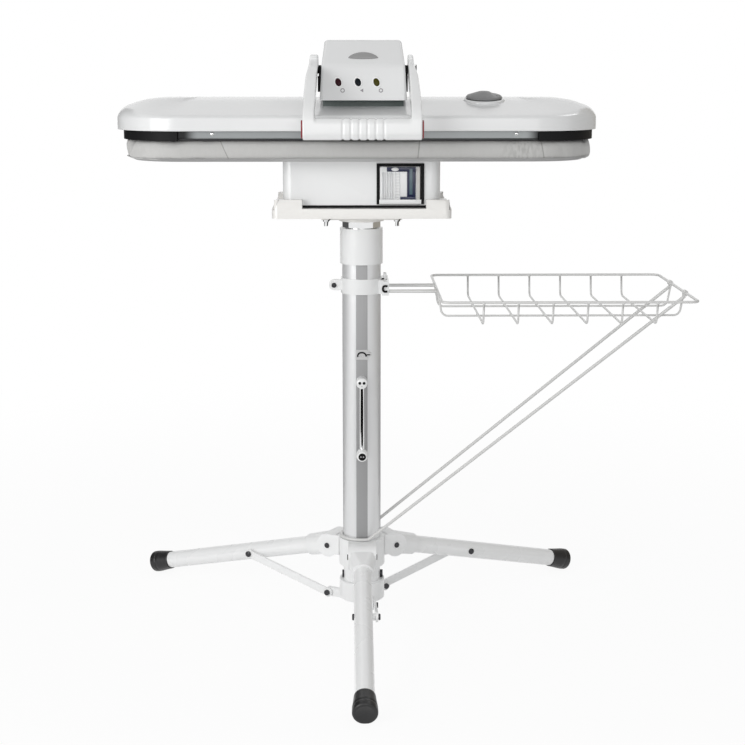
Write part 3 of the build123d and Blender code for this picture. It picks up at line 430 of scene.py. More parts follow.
# Water tank
# A clear ribbed moulding with marks for the level, a navy channel on its right, a pale pull strip and a white valve.
clear = finish_with(moulded_grain, "clear_moulding", (0.97, 0.98, 0.99), 0.06, 500, 30, 0.02, 0.05, 0.00003,
                    Transmission_Weight=0.35, IOR=1.3)
navy = finish_with(moulded_grain, "navy_moulding", (0.016, 0.022, 0.075), 0.14, 700, 30, 0.3, 0.1, 0.00004)
# The lighter teal strip inside the navy channel is a painted reflection.
teal_painted_reflection = finish_with(moulded_grain, "teal_reflection_strip", (0.13, 0.2, 0.24), 0.12, 700, 30, 0.3, 0.1, 0.00004)
pull_grey = finish_with(moulded_grain, "pull_strip", (0.6, 0.59, 0.56), 0.3, 700, 30, 0.05, 0.1, 0.00004)
finished("water_tank", clear, "clear_tank", 0.0006)
tank_y = -0.0735
tank_parts = [
    ("tank_panel_back", white_gloss, "white_plastic", (0.0315, 0.0995, tank_y - 0.0002, tank_y + 0.0012, 0.7755, 0.8315)),
    ("tank_channel", navy, "navy_panel", (0.0775, 0.0925, tank_y - 0.0014, tank_y + 0.0005, 0.7750, 0.8320)),
    ("tank_channel_painted_reflection", teal_painted_reflection, "navy_panel", (0.0815, 0.0870, tank_y - 0.0019, tank_y, 0.7850, 0.8290)),
    ("tank_top_band", navy, "navy_panel", (0.0430, 0.0925, tank_y - 0.0016, tank_y + 0.0005, 0.8240, 0.8318)),
    ("tank_low_band", navy, "navy_panel", (0.0660, 0.0925, tank_y - 0.0016, tank_y + 0.0005, 0.7752, 0.7812)),
    ("tank_lip", white_gloss, "white_plastic", (0.0300, 0.1020, tank_y - 0.0031, tank_y - 0.0011, 0.7690, 0.7765)),
    ("tank_pull", pull_grey, "grey_plastic", (0.0942, 0.0996, tank_y - 0.0028, tank_y + 0.0005, 0.7760, 0.8315)),
]
for name, material, slot_name, corners in tank_parts:
    made(bar(*corners, 0.0004), name, material, "tank", slot_name, ["tank_panel"] if name == "tank_channel" else ())
for number in range(5):
    x = 0.0345 + 0.0042 * number
    made(bar(x, x + 0.0016, tank_y - 0.0022, tank_y, 0.7775, 0.8225, 0.0006), "tank_rib_%d" % number, clear, "tank",
         "clear_tank")
for number in range(9):
    z = 0.7795 + 0.0050 * number
    made(bar(0.0560, 0.0655, tank_y - 0.0010, tank_y, z, z + 0.0007, 0.0002), "level_mark_%d" % number, light_grey,
         "tank", "grey_plastic")
valve = spun([(0.0, 0.0016), (0.0030, 0.0014), (0.0038, 0.0006), (0.0040, 0.0), (0.0040, -0.0010), (0.0, -0.0010)])
bmesh.ops.scale(valve, vec=(1.6, 0.8, 1.0), verts=valve.verts)
bmesh.ops.transform(valve, matrix=Matrix.Translation((0.0570, tank_y - 0.0020, 0.8280)) @ facing_user, verts=valve.verts)
made(valve, "tank_valve", white_gloss, "tank", "white_plastic", angle=60)

# Ironing board and hinge
# A painted aluminium board whose edge is pressed in below, with two rear posts, a steel shaft and two coil springs.
head_x = -0.005
board_paint = finish_with(moulded_grain, "board_paint", (0.55, 0.55, 0.55), 0.4, 500, 12, 0.05, 0.1, 0.00006,
                          Metallic=0.3)
board = finished("board_plate", board_paint, "board_metal")


def outward(point, half_x, half_y, corner, middle_x):
    """The direction out of a rounded rectangle at a point near its edge."""
    x = point.x - middle_x
    y = point.y
    flat_x = half_x - corner
    flat_y = half_y - corner
    way = Vector((x - max(-flat_x, min(flat_x, x)), y - max(-flat_y, min(flat_y, y)), 0))
    return way.normalized() if way.length > 1e-7 else Vector((0, 0, 0))


for vert in board.data.vertices:
    past = abs(vert.co.y) > 0.120 or abs(vert.co.x - head_x) > 0.30
    if vert.co.z < 0.8445 and past:
        vert.co -= outward(vert.co, 0.4035, 0.140, 0.112, head_x) * 0.014
finished("hinge_posts", white_cast, "white_metal", 0.0008)
finished("hinge_shaft", steel, "spring_steel", 0.0005)
finished("hinge_springs", steel, "spring_steel")

# Pad
# Foam under a grey cloth cover, drawn tight round the edge of the board, with sewn seams and small wrinkles; the
# wrinkles' grooves are darkened in the cloth's colour as painted shade.


def woven(name, colour, threads, seams):
    """Cloth with a plain weave, a dark stitched line at each seam, and painted shade that darkens the colour in slanted
    wrinkles.
    """
    material = finish_with(moulded_grain, name, colour, 0.86, 800, 12, 0.08, 0.04, 0.0003, Sheen_Weight=0.2)
    tree = material.node_tree
    links = tree.links
    place = add(tree, "ShaderNodeTexCoord")
    scale = add(tree, "ShaderNodeVectorMath", operation="SCALE", Scale=threads)
    wave = add(tree, "ShaderNodeVectorMath", operation="SINE")
    parts = add(tree, "ShaderNodeSeparateXYZ")
    links.new(place.outputs["Object"], scale.inputs[0])
    links.new(scale.outputs[0], wave.inputs[0])
    links.new(wave.outputs[0], parts.inputs[0])
    across = add(tree, "ShaderNodeMath", operation="MULTIPLY")
    links.new(parts.outputs["Y"], across.inputs[0])
    links.new(parts.outputs["Z"], across.inputs[1])
    thread = add(tree, "ShaderNodeMath", operation="MULTIPLY_ADD")
    links.new(parts.outputs["X"], thread.inputs[0])
    links.new(parts.outputs["Z"], thread.inputs[1])
    links.new(across.outputs[0], thread.inputs[2])
    where = add(tree, "ShaderNodeSeparateXYZ")
    links.new(place.outputs["Object"], where.inputs[0])
    total = None
    for x, lean in seams:
        slant = add(tree, "ShaderNodeMath", operation="MULTIPLY_ADD")
        slant.inputs[1].default_value = lean
        slant.inputs[2].default_value = -x - 0.864 * lean
        links.new(where.outputs["Z"], slant.inputs[0])
        offset = add(tree, "ShaderNodeMath", operation="ADD")
        links.new(where.outputs["X"], offset.inputs[0])
        links.new(slant.outputs[0], offset.inputs[1])
        size = add(tree, "ShaderNodeMath", operation="ABSOLUTE")
        links.new(offset.outputs[0], size.inputs[0])
        near = add(tree, "ShaderNodeMapRange", interpolation_type="SMOOTHSTEP")
        near.inputs["From Min"].default_value = 0.0004
        near.inputs["From Max"].default_value = 0.0014
        near.inputs["To Min"].default_value = 1.0
        near.inputs["To Max"].default_value = 0.0
        links.new(size.outputs[0], near.inputs["Value"])
        if total is None:
            total = near
            continue
        more = add(tree, "ShaderNodeMath", operation="MAXIMUM")
        links.new(total.outputs[0], more.inputs[0])
        links.new(near.outputs[0], more.inputs[1])
        total = more
    shader = tree.nodes["Principled BSDF"]
    surface = next(n for n in tree.nodes if n.bl_idname == "ShaderNodeGroup")
    darker = add(tree, "ShaderNodeMix", data_type="RGBA")
    fade = add(tree, "ShaderNodeMath", operation="MULTIPLY")
    fade.inputs[1].default_value = 0.45
    links.new(total.outputs[0], fade.inputs[0])
    links.new(surface.outputs["Colour"], darker.inputs[6])
    darker.inputs[7].default_value = (0.12, 0.12, 0.11, 1.0)
    links.new(darker.outputs[2], shader.inputs["Base Color"])
    bump = next(n for n in tree.nodes if n.bl_idname == "ShaderNodeBump")
    height = add(tree, "ShaderNodeMath", operation="MULTIPLY_ADD")
    height.inputs[1].default_value = 0.25
    links.new(thread.outputs[0], height.inputs[0])
    links.new(surface.outputs["Height"], height.inputs[2])
    lower = add(tree, "ShaderNodeMath", operation="SUBTRACT")
    links.new(height.outputs[0], lower.inputs[0])
    links.new(total.outputs[0], lower.inputs[1])
    slanted = add(tree, "ShaderNodeMapping", Rotation=(0.0, 0.7, 0.0), Scale=(1.0, 1.0, 0.30))
    wrinkle = add(tree, "ShaderNodeTexNoise", Scale=230.0, Detail=1.5)
    links.new(place.outputs["Object"], slanted.inputs["Vector"])
    links.new(slanted.outputs[0], wrinkle.inputs["Vector"])
    away = add(tree, "ShaderNodeMath", operation="SUBTRACT")
    away.inputs[1].default_value = 0.268
    links.new(where.outputs["X"], away.inputs[0])
    away_size = add(tree, "ShaderNodeMath", operation="ABSOLUTE")
    links.new(away.outputs[0], away_size.inputs[0])
    crumpled = add(tree, "ShaderNodeMapRange", interpolation_type="SMOOTHSTEP")
    crumpled.inputs["From Max"].default_value = 0.05
    crumpled.inputs["To Min"].default_value = 6.0
    crumpled.inputs["To Max"].default_value = 0.6
    links.new(away_size.outputs[0], crumpled.inputs["Value"])
    # Painted shade: the wrinkle noise darkens the cloth's colour in the grooves, most where it is crumpled near x
    # 0.268; the stitched seams are added in.
    shade = add(tree, "ShaderNodeMapRange")
    shade.inputs["From Min"].default_value = 0.56
    shade.inputs["From Max"].default_value = 0.40
    shade.inputs["To Max"].default_value = 0.034
    links.new(wrinkle.outputs["Fac"], shade.inputs["Value"])
    stitches_and_painted_crease_shade = add(tree, "ShaderNodeMath", operation="MULTIPLY_ADD")
    links.new(shade.outputs[0], stitches_and_painted_crease_shade.inputs[0])
    links.new(crumpled.outputs[0], stitches_and_painted_crease_shade.inputs[1])
    links.new(fade.outputs[0], stitches_and_painted_crease_shade.inputs[2])
    links.new(stitches_and_painted_crease_shade.outputs[0], darker.inputs["Factor"])
    wrinkled = add(tree, "ShaderNodeMath", operation="MULTIPLY_ADD")
    links.new(wrinkle.outputs["Fac"], wrinkled.inputs[0])
    links.new(crumpled.outputs[0], wrinkled.inputs[1])
    links.new(lower.outputs[0], wrinkled.inputs[2])
    links.new(wrinkled.outputs[0], bump.inputs["Height"])
    return material


seams = [(-0.2285, 0.45), (0.0944, -0.10), (0.3010, 0.2)]
cloth = woven("pad_cloth", (0.60, 0.598, 0.585), 2600.0, seams)


def grow_ring(bm, edges, plan, inset, rise):
    """Extrude a ring and move the new one in by the inset; rise gives its height."""
    made_now = bmesh.ops.extrude_edge_only(bm, edges=edges)["geom"]
    ring = [e for e in made_now if isinstance(e, bmesh.types.BMEdge)]
    verts = [v for v in made_now if isinstance(v, bmesh.types.BMVert)]
    for vert in verts:
        way = outward(vert.co, *plan)
        vert.co -= way * inset
        vert.co.z = rise(vert.co, way)
    ends = set(verts)
    return [e for e in ring if e.verts[0] in ends and e.verts[1] in ends]


def loft(plan, steps, cuts, levels):
    """A body of rounded rings. Each level is an inset step and a height or a function."""
    bm = bmesh.new()
    half_x, half_y, corner, middle_x = plan
    ring = rounded_ring(bm, half_x, half_y, corner, middle_x, 0.0, steps, cuts)
    first_inset, first_rise = levels[0]
    for vert in bm.verts:
        way = outward(vert.co, *plan)
        vert.co -= way * first_inset
        vert.co.z = first_rise
    for inset, rise in levels[1:]:
        call = rise if callable(rise) else (lambda co, way, z=rise: z)
        ring = grow_ring(bm, ring, plan, inset, call)
    return bm, ring


def evened(mesh, voxel):
    """The mesh remade with even square faces."""
    holder = bpy.data.objects.new("even_faces", mesh)
    bpy.context.scene.collection.objects.link(holder)
    remesh = holder.modifiers.new("even", "REMESH")
    remesh.mode = "VOXEL"
    remesh.voxel_size = voxel
    graph = bpy.context.evaluated_depsgraph_get()
    even = bpy.data.meshes.new_from_object(holder.evaluated_get(graph), depsgraph=graph)
    bpy.data.objects.remove(holder)
    return even


def swollen(mesh, pressure, cap):
    """The mesh blown up as cloth for a short while, with no point moved further than the cap."""
    holder = bpy.data.objects.new("swelling", mesh)
    bpy.context.scene.collection.objects.link(holder)
    cloth_step = holder.modifiers.new("cloth", "CLOTH")
    settings = cloth_step.settings
    settings.use_pressure = True
    settings.uniform_pressure_force = pressure
    settings.shrink_min = -0.03
    settings.effector_weights.gravity = 0.0
    settings.quality = 5
    start = [v.co.copy() for v in mesh.vertices]
    for step in range(1, 21):
        bpy.context.scene.frame_set(step)
    graph = bpy.context.evaluated_depsgraph_get()
    blown = bpy.data.meshes.new_from_object(holder.evaluated_get(graph), depsgraph=graph)
    bpy.context.scene.frame_set(1)
    bpy.data.objects.remove(holder)
    for vert, origin in zip(blown.vertices, start):
        move = vert.co - origin
        if move.length > cap:
            vert.co = origin + move * (cap / move.length)
    return blown


pad_plan = (0.4012, 0.1378, 0.1105, head_x)
pad_body, ring = loft(pad_plan, 14, 40, [
    (0.010, 0.8478), (-0.007, 0.8482), (-0.002, 0.8500), (-0.001, 0.8560), (0.0, 0.8640), (0.0005, 0.8700),
    (0.003, 0.8748), (0.006, 0.8768), (0.012, 0.8774)])
bmesh.ops.holes_fill(pad_body, edges=[e for e in pad_body.edges if e.is_boundary], sides=0)
bmesh.ops.recalc_face_normals(pad_body, faces=pad_body.faces)
pad_mesh = bpy.data.meshes.new("pad_start")
pad_body.to_mesh(pad_mesh)
pad_body.free()
pad_mesh = evened(pad_mesh, 0.0045)
pad_mesh = swollen(pad_mesh, 4.0, 0.0035)


def crease(co):
    """How far in the cover is drawn at a point: fine wrinkles, stronger in a few places, and the seams."""
    deep = 0.00018
    for x, reach, depth in ((-0.30, 0.05, 0.0004), (0.02, 0.06, 0.0003), (0.268, 0.035, 0.0011), (0.12, 0.03, 0.0006)):
        deep += depth * math.exp(-((co.x - x) / reach) ** 2)
    line = (co.x + 0.35 * (co.z - 0.864)) * 210.0 + 1.6 * noise.noise(Vector((co.x * 30, co.y * 30, 3.0)))
    total = deep * (0.5 + 0.5 * math.sin(line)) * (0.6 + 0.4 * noise.noise(Vector((co.x * 60, 7.0, co.z * 90))))
    for x, lean in seams:
        gap = (co.x - x + lean * (co.z - 0.864)) / 0.003
        total += 0.0007 * math.exp(-gap * gap)
    return total


pad_low = 0.8452
pad_high = 0.8786
for vert in pad_mesh.vertices:
    co = vert.co
    way = outward(co, *pad_plan)
    edge = abs(co.y) > 0.118 or abs(co.x - head_x) > 0.38
    if edge and co.z < 0.8765:
        co -= way * crease(co)
        co.z += 0.0011 * noise.noise(Vector((co.x * 16, co.y * 16, 1.0))) * (1 if co.z < 0.856 else 0)
    co.z = max(pad_low if edge else 0.8455, min(pad_high, co.z))
pad = shown(pad_mesh, "padded_cover", cloth, "press", "pad_cloth", ["ironing_pad"], angle=80)
soften = pad.modifiers.new("soften", "SUBSURF")
soften.levels = 1
soften.render_levels = 1

# Heated plate and its frame
# The coated heated plate has rows of steam holes and sits in an aluminium frame with black moulded ends;
# the black of the ends and the frame's darkening towards them are painted shade.
coated = finish_with(moulded_grain, "dark_coating", (0.05, 0.05, 0.052), 0.34, 700, 12, 0.2, 0.12, 0.00005,
                     Metallic=0.4)
sole_metal = finish_with(moulded_grain, "sole_frame_metal", (0.31, 0.325, 0.33), 0.32, 900, 10, 0.06, 0.1, 0.00005,
                         Metallic=0.5)
# The frame's colour goes to near black past 0.27 m from the middle: painted shade at its ends.
tree = sole_metal.node_tree
where = add(tree, "ShaderNodeTexCoord")
parts = add(tree, "ShaderNodeSeparateXYZ")
reach = add(tree, "ShaderNodeMath", operation="ABSOLUTE")
fade = add(tree, "ShaderNodeMapRange", interpolation_type="SMOOTHSTEP")
fade.inputs["From Min"].default_value = 0.270
fade.inputs["From Max"].default_value = 0.296
painted_end_shade = add(tree, "ShaderNodeMix", data_type="RGBA")
painted_end_shade.inputs[7].default_value = (0.010, 0.010, 0.011, 1.0)
tree.links.new(where.outputs["Object"], parts.inputs[0])
tree.links.new(parts.outputs["X"], reach.inputs[0])
tree.links.new(reach.outputs[0], fade.inputs["Value"])
tree.links.new(fade.outputs[0], painted_end_shade.inputs["Factor"])
surface = next(n for n in tree.nodes if n.bl_idname == "ShaderNodeGroup")
tree.links.new(surface.outputs["Colour"], painted_end_shade.inputs[6])
tree.links.new(painted_end_shade.outputs[2], tree.nodes["Principled BSDF"].inputs["Base Color"])
finished("heated_plate", coated, "dark_aluminium", 0.0008)
finished("sole_frame", sole_metal, "sole_metal", 0.0006)
# The end caps are black as painted shade at the frame's ends.
finished("sole_end_caps", black_moulding, "black_plastic", 0.0006)
finished("heating_element", steel, "spring_steel")
for number, x in enumerate((-0.2480, 0.2565)):
    bm = spun([(0.0, 0.0012), (0.0018, 0.0011), (0.0028, 0.0005), (0.0032, 0.0), (0.0032, -0.0010), (0.0, -0.0010)], 24)
    bmesh.ops.transform(bm, matrix=Matrix.Translation((x, -0.1371, 0.8905)) @ facing_user, verts=bm.verts)
    made(bm, "frame_screw_%d" % number, chrome, "head", "chrome", angle=60)
# The steam holes are not cut: flat near-black discs stand in for them, as painted shade of the holes.
holes = bmesh.new()
for row, y in enumerate((-0.09, -0.045, 0.0, 0.045, 0.09)):
    for place in range(16):
        x = head_x + (place - 7.5) * 0.043 + (0.0107 if row % 2 else -0.0107)
        bmesh.ops.create_circle(holes, cap_ends=True, segments=12, radius=0.0030,
                                matrix=Matrix.Translation((x, y, 0.8788)))
thick = bmesh.ops.extrude_face_region(holes, geom=holes.faces[:])
bmesh.ops.translate(holes, vec=(0, 0, 0.0006), verts=[v for v in thick["geom"] if isinstance(v, bmesh.types.BMVert)])
bmesh.ops.recalc_face_normals(holes, faces=holes.faces)
made(holes, "steam_hole_shade_discs", black_moulding, "head", "dark_aluminium")

# Top cover
# One glossy white moulding: an upright wall, a soft crease and a crowned top that slopes down to the front.
white_shell = finish_with(moulded_grain, "white_shell", (0.80, 0.806, 0.808), 0.2, 700, 8, 0.012, 0.06, 0.00003,
                          Coat_Weight=0.35, Coat_Roughness=0.12)
cover_plan = (0.4129, 0.145, 0.123, -0.007)


def between(value, points):
    """Height at a distance, along straight runs between points."""
    for (a, low), (b, high) in zip(points, points[1:]):
        if value <= b:
            t = (value - a) / (b - a)
            return low + (high - low) * t
    return points[-1][1]


crown = 0.948
front_run = [(0.0, 0.9160), (0.003, 0.9192), (0.006, 0.9206), (0.120, 0.9440), (0.175, crown)]
end_run = [(0.0, 0.9160), (0.003, 0.9230), (0.012, 0.9330), (0.042, 0.9440), (0.070, 0.9477), (0.2, crown)]
back_run = [(0.0, 0.9140), (0.003, 0.9200), (0.006, 0.9255), (0.030, 0.9446), (0.060, 0.9470), (0.2, crown)]


def cover_rise(depth):
    """Height of the cover's top at a distance in from its edge, by the side it is on."""
    def rise(co, way):
        front = max(0.0, -way.y) ** 2
        back = max(0.0, way.y) ** 2
        end = way.x ** 2
        total = front + back + end
        if total < 1e-6:
            return crown
        return (front * between(depth, front_run) + back * between(depth, back_run)
                + end * between(depth, end_run)) / total
    return rise


depths = [0.0, 0.0008, 0.0022, 0.0045, 0.008, 0.014, 0.022, 0.032, 0.044, 0.058, 0.074, 0.090, 0.106, 0.1225]
levels = [(0.0, 0.8950), (0.0, 0.8956), (0.0, 0.905)]
last = 0.0
for depth in depths:
    levels.append((depth - last, cover_rise(depth)))
    last = depth
cover_body, ring = loft(cover_plan, 16, 30, levels)
ends = list({v for e in ring for v in e.verts})
bmesh.ops.remove_doubles(cover_body, verts=ends, dist=0.0011)
top_ring = [e for e in cover_body.edges if e.is_boundary and e.verts[0].co.z > 0.93]
front = [e for e in top_ring if e.verts[0].co.y < -0.01 and e.verts[1].co.y < -0.01]
back = [e for e in top_ring if e.verts[0].co.y > 0.01 and e.verts[1].co.y > 0.01]
bmesh.ops.bridge_loops(cover_body, edges=front + back)
bmesh.ops.recalc_face_normals(cover_body, faces=cover_body.faces)
cover = made(cover_body, "cover_moulding", white_shell, "head", "white_plastic", ["top_cover"], angle=80)
wall = cover.modifiers.new("wall", "SOLIDIFY")
wall.thickness = 0.003
wall.offset = -1
round_off = cover.modifiers.new("round", "SUBSURF")
round_off.levels = 1
round_off.render_levels = 1
finished("hinge_arms", white_cast, "white_metal", 0.0008)

# Console
# A white moulded housing between the handle arms. It carries three lamps and the steam button.
console_x = 0.0028
console_runs = [(0.944, 0.0735), (1.002, 0.0710), (1.044, 0.0650)]
console_side = [(-0.0976, 0.944), (-0.0850, 1.002), (-0.0460, 1.044), (0.0300, 1.044), (0.0560, 1.030),
                (0.0700, 0.944)]
lip_y, lip_z = console_side[1]


def console_half(z):
    """Half the width of the console at a height."""
    return between(z, console_runs)


housing = bmesh.new()
outline = [housing.verts.new((-1.0, y, z)) for y, z in console_side]
housing.faces.new(outline)
pulled = bmesh.ops.extrude_face_region(housing, geom=housing.faces[:])
bmesh.ops.translate(housing, vec=(2.0, 0, 0), verts=[v for v in pulled["geom"] if isinstance(v, bmesh.types.BMVert)])
for vert in housing.verts:
    vert.co.x = console_x + vert.co.x * console_half(vert.co.z)
bmesh.ops.recalc_face_normals(housing, faces=housing.faces)
low_edges = [e for e in housing.edges if all(v.co.z < 0.945 for v in e.verts)]
high_edges = [e for e in housing.edges if e not in low_edges]
bmesh.ops.bevel(housing, geom=high_edges, offset=0.0055, affect="EDGES", segments=5, profile=0.5, material=-1)
low_edges = [e for e in housing.edges if all(v.co.z < 0.9442 for v in e.verts)]
bmesh.ops.bevel(housing, geom=low_edges, offset=0.0012, affect="EDGES", segments=2, profile=0.5, material=-1)


def on_slope(across, up, out_by=0.0):
    """A place on the lower front face, by its distance across and its height."""
    share = (up - 0.944) / (lip_z - 0.944)
    y = console_side[0][0] + share * (lip_y - console_side[0][0])
    return Matrix.Translation((console_x + across, y, up)) @ Matrix.Rotation(
        math.pi / 2 - math.atan2(lip_y - console_side[0][0], lip_z - 0.944), 4, "X") @ Matrix.Translation((0, 0, out_by))


def flat_face(bm, normal):
    """The large flat face that looks along a direction."""
    return max((f for f in bm.faces if f.normal.dot(normal) > 0.999), key=lambda f: f.calc_area())


def pocket(bm, face, loops, depth):
    """Cut pockets with the given outlines into a flat face."""
    rim = face.edges[:]
    normal = face.normal.copy()
    bmesh.ops.delete(bm, geom=[face], context="FACES_ONLY")
    cuts = []
    for points in loops:
        verts = [bm.verts.new(p) for p in points]
        cuts.append([bm.edges.new(pair) for pair in zip(verts, verts[1:] + verts[:1])])
    bmesh.ops.triangle_fill(bm, use_beauty=True, use_dissolve=False, edges=rim + [e for c in cuts for e in c],
                            normal=normal)
    for edges in cuts:
        walls = bmesh.ops.extrude_edge_only(bm, edges=edges)["geom"]
        deep = {v for v in walls if isinstance(v, bmesh.types.BMVert)}
        bmesh.ops.translate(bm, vec=-normal * depth, verts=list(deep))
        floor_edges = [e for e in walls if isinstance(e, bmesh.types.BMEdge) and all(v in deep for v in e.verts)]
        bmesh.ops.holes_fill(bm, edges=floor_edges, sides=0)


def oval(place, half_x, half_y, turn, steps=28):
    """Points of a tilted oval on a plane."""
    spin = Matrix.Rotation(turn, 4, "Z")
    return [place @ spin @ Vector((half_x * math.cos(math.tau * i / steps), half_y * math.sin(math.tau * i / steps), 0))
            for i in range(steps)]


lamp_turn = math.radians(18)
lamp_z = 0.974
lamp_places = {"red": -0.042, "green": -0.009, "amber": 0.022}
front_face = flat_face(housing, on_slope(0, lamp_z).to_3x3() @ Vector((0, 0, 1)))
pocket(housing, front_face, [oval(on_slope(x, lamp_z), 0.0052, 0.0072, lamp_turn) for x in lamp_places.values()], 0.0022)

button_place = Matrix.Translation((console_x, lip_y + 0.36 * 0.039, lip_z + 0.36 * 0.042)) @ Matrix.Rotation(
    math.atan2(0.042, 0.039), 4, "X")


def lens(grow, steps=40):
    """Outline of the steam button, wide and low with an arched top."""
    points = []
    for i in range(steps):
        turn = math.tau * i / steps
        side = math.sin(turn)
        rise = (0.0122 + grow) * side ** 1.5 if side > 0 else (0.0028 + grow) * side
        points.append(Vector(((0.0252 + grow) * math.cos(turn), rise - 0.004, 0)))
    return points


top_face = flat_face(housing, button_place.to_3x3() @ Vector((0, 0, 1)))
pocket(housing, top_face, [[button_place @ p for p in lens(0.0003)]], 0.0062)
bmesh.ops.recalc_face_normals(housing, faces=housing.faces)
console = made(housing, "console_housing", white_shell, "head", "white_plastic", ["console_shell"], angle=30)
even_light = console.modifiers.new("even_light", "WEIGHTED_NORMAL")
even_light.keep_sharp = True
# The plinth under the console is dark as painted shade of the shadowed gap under the console's overhang; its teal tint
# is a painted reflection.
plinth = bar(console_x - 0.0685, console_x + 0.0685, -0.0740, 0.0690, 0.9250, 0.9450, 0.001)
painted_shade_teal = finish_with(moulded_grain, "console_gap_painted_shade", (0.09, 0.115, 0.108), 0.4, 800, 30, 0.1, 0.1, 0.00005)
made(plinth, "console_plinth", painted_shade_teal, "head", "grey_plastic")
# The studs are near black so that the narrow gaps between the handle arms and the console read dark: painted shade.
finished("handle_studs", dark_end, "dark_metal", 0.0005)

# Lamps
# Three tilted oval lenses in white rims, each with a small generic sign beside it.
lamp_colours = {"red": (0.030, 0.001, 0.006), "green": (0.002, 0.006, 0.010), "amber": (0.060, 0.054, 0.004)}
rim_white = finish_with(moulded_grain, "lamp_rim", (0.95, 0.95, 0.945), 0.2, 700, 30, 0.02, 0.05, 0.00003)
for name, x in lamp_places.items():
    glass = finish_with(moulded_grain, "lamp_" + name, lamp_colours[name], 0.2, 900, 60, 0.1, 0.05, 0.00002,
                        Specular_IOR_Level=0.12)
    dome = spun([(0.0, 0.0011), (0.0034, 0.0009), (0.0046, 0.0004), (0.0049, -0.0004), (0.0049, -0.0024),
                 (0.0, -0.0024)], 28)
    ring = spun([(0.0050, -0.0006), (0.0051, 0.0005), (0.0057, 0.0010), (0.0067, 0.0007), (0.0072, 0.0001),
                 (0.0072, -0.0006), (0.0050, -0.0006)], 28)
    for bm, label, material in ((dome, "lamp_lens_", glass), (ring, "lamp_rim_", rim_white)):
        bmesh.ops.scale(bm, vec=(1.0, 1.38, 1.0), verts=bm.verts)
        bmesh.ops.transform(bm, matrix=on_slope(x, lamp_z) @ Matrix.Rotation(lamp_turn, 4, "Z"), verts=bm.verts)
        made(bm, label + name, material, "head", "lamp_lens" if bm is dome else "white_plastic",
             ["indicator_lamps"] if label + name == "lamp_lens_red" else (), angle=60)
sign_grey = finish_with(moulded_grain, "printed_grey", (0.33, 0.31, 0.33), 0.4, 800, 60, 0.1, 0.05, 0.00001)


def sign(name, across, sides, outer, inner, turn):
    """A small flat outline sign printed on the lower face."""
    bm = bmesh.new()
    bmesh.ops.create_circle(bm, cap_ends=True, segments=sides, radius=outer)
    bmesh.ops.rotate(bm, cent=(0, 0, 0), matrix=Matrix.Rotation(turn, 3, "Z"), verts=bm.verts)
    if inner:
        bmesh.ops.inset_region(bm, faces=bm.faces[:], thickness=outer - inner, depth=0.0, use_boundary=True)
        bmesh.ops.delete(bm, geom=[max(bm.faces, key=lambda f: len(f.verts))], context="FACES_ONLY")
    thick = bmesh.ops.extrude_face_region(bm, geom=bm.faces[:])
    bmesh.ops.translate(bm, vec=(0, 0, 0.00025), verts=[v for v in thick["geom"] if isinstance(v, bmesh.types.BMVert)])
    bmesh.ops.recalc_face_normals(bm, faces=bm.faces)
    bmesh.ops.transform(bm, matrix=on_slope(across, 0.9605, -0.0001), verts=bm.verts)
    made(bm, name, sign_grey, "head", "grey_plastic")


sign("sign_heat", -0.0348, 16, 0.0038, 0.0022, 0.0)
sign("sign_power", -0.0020, 3, 0.0036, 0.0, math.pi / 2)
sign("sign_steam", 0.0293, 6, 0.0040, 0.0023, 0.0)

# Steam button
# A low grey lens that slides square to the sloped face in a pocket of the console.
button = bmesh.new()
rim_verts = [button.verts.new(p + Vector((0, 0, -0.0030))) for p in lens(0.0)]
ring = [button.edges.new(pair) for pair in zip(rim_verts, rim_verts[1:] + rim_verts[:1])]
for share, up in ((1.0, 0.0034), (0.985, 0.0005), (0.95, 0.0005), (0.86, 0.0007), (0.62, 0.0007), (0.5, 0.0004)):
    new = bmesh.ops.extrude_edge_only(button, edges=ring)["geom"]
    verts = {v for v in new if isinstance(v, bmesh.types.BMVert)}
    bmesh.ops.scale(button, vec=(share, share, 1.0), verts=list(verts))
    bmesh.ops.translate(button, vec=(0, 0, up), verts=list(verts))
    ring = [e for e in new if isinstance(e, bmesh.types.BMEdge) and e.verts[0] in verts and e.verts[1] in verts]
bmesh.ops.holes_fill(button, edges=[e for e in button.edges if e.is_boundary], sides=0)
bmesh.ops.recalc_face_normals(button, faces=button.faces)
bmesh.ops.transform(button, matrix=button_place, verts=button.verts)
button_grey = finish_with(moulded_grain, "button_grey", (0.33, 0.33, 0.33), 0.2, 800, 30, 0.08, 0.1, 0.00005)
made(button, "steam_button_lens", button_grey, "steam_button", "grey_plastic", ["steam_button"], angle=50)

# Temperature dial
# A grey knob with a raised grip that turns on a round seat in the slope of the cover.
dial_place = Matrix.Translation((0.2115, -0.026, 0.944)) @ Matrix.Rotation(math.radians(8.5), 4, "X")
finished("temperature_dial", grey_moulding, "grey_plastic", 0.0014, 3)
seat = spun([(0.0300, -0.0040), (0.0300, 0.0016), (0.0306, 0.0022), (0.0335, 0.0020), (0.0350, 0.0012),
             (0.0360, -0.0008), (0.0360, -0.0040), (0.0300, -0.0040)], 64)
bmesh.ops.transform(seat, matrix=dial_place, verts=seat.verts)
made(seat, "dial_seat", white_shell, "head", "white_plastic", angle=60)

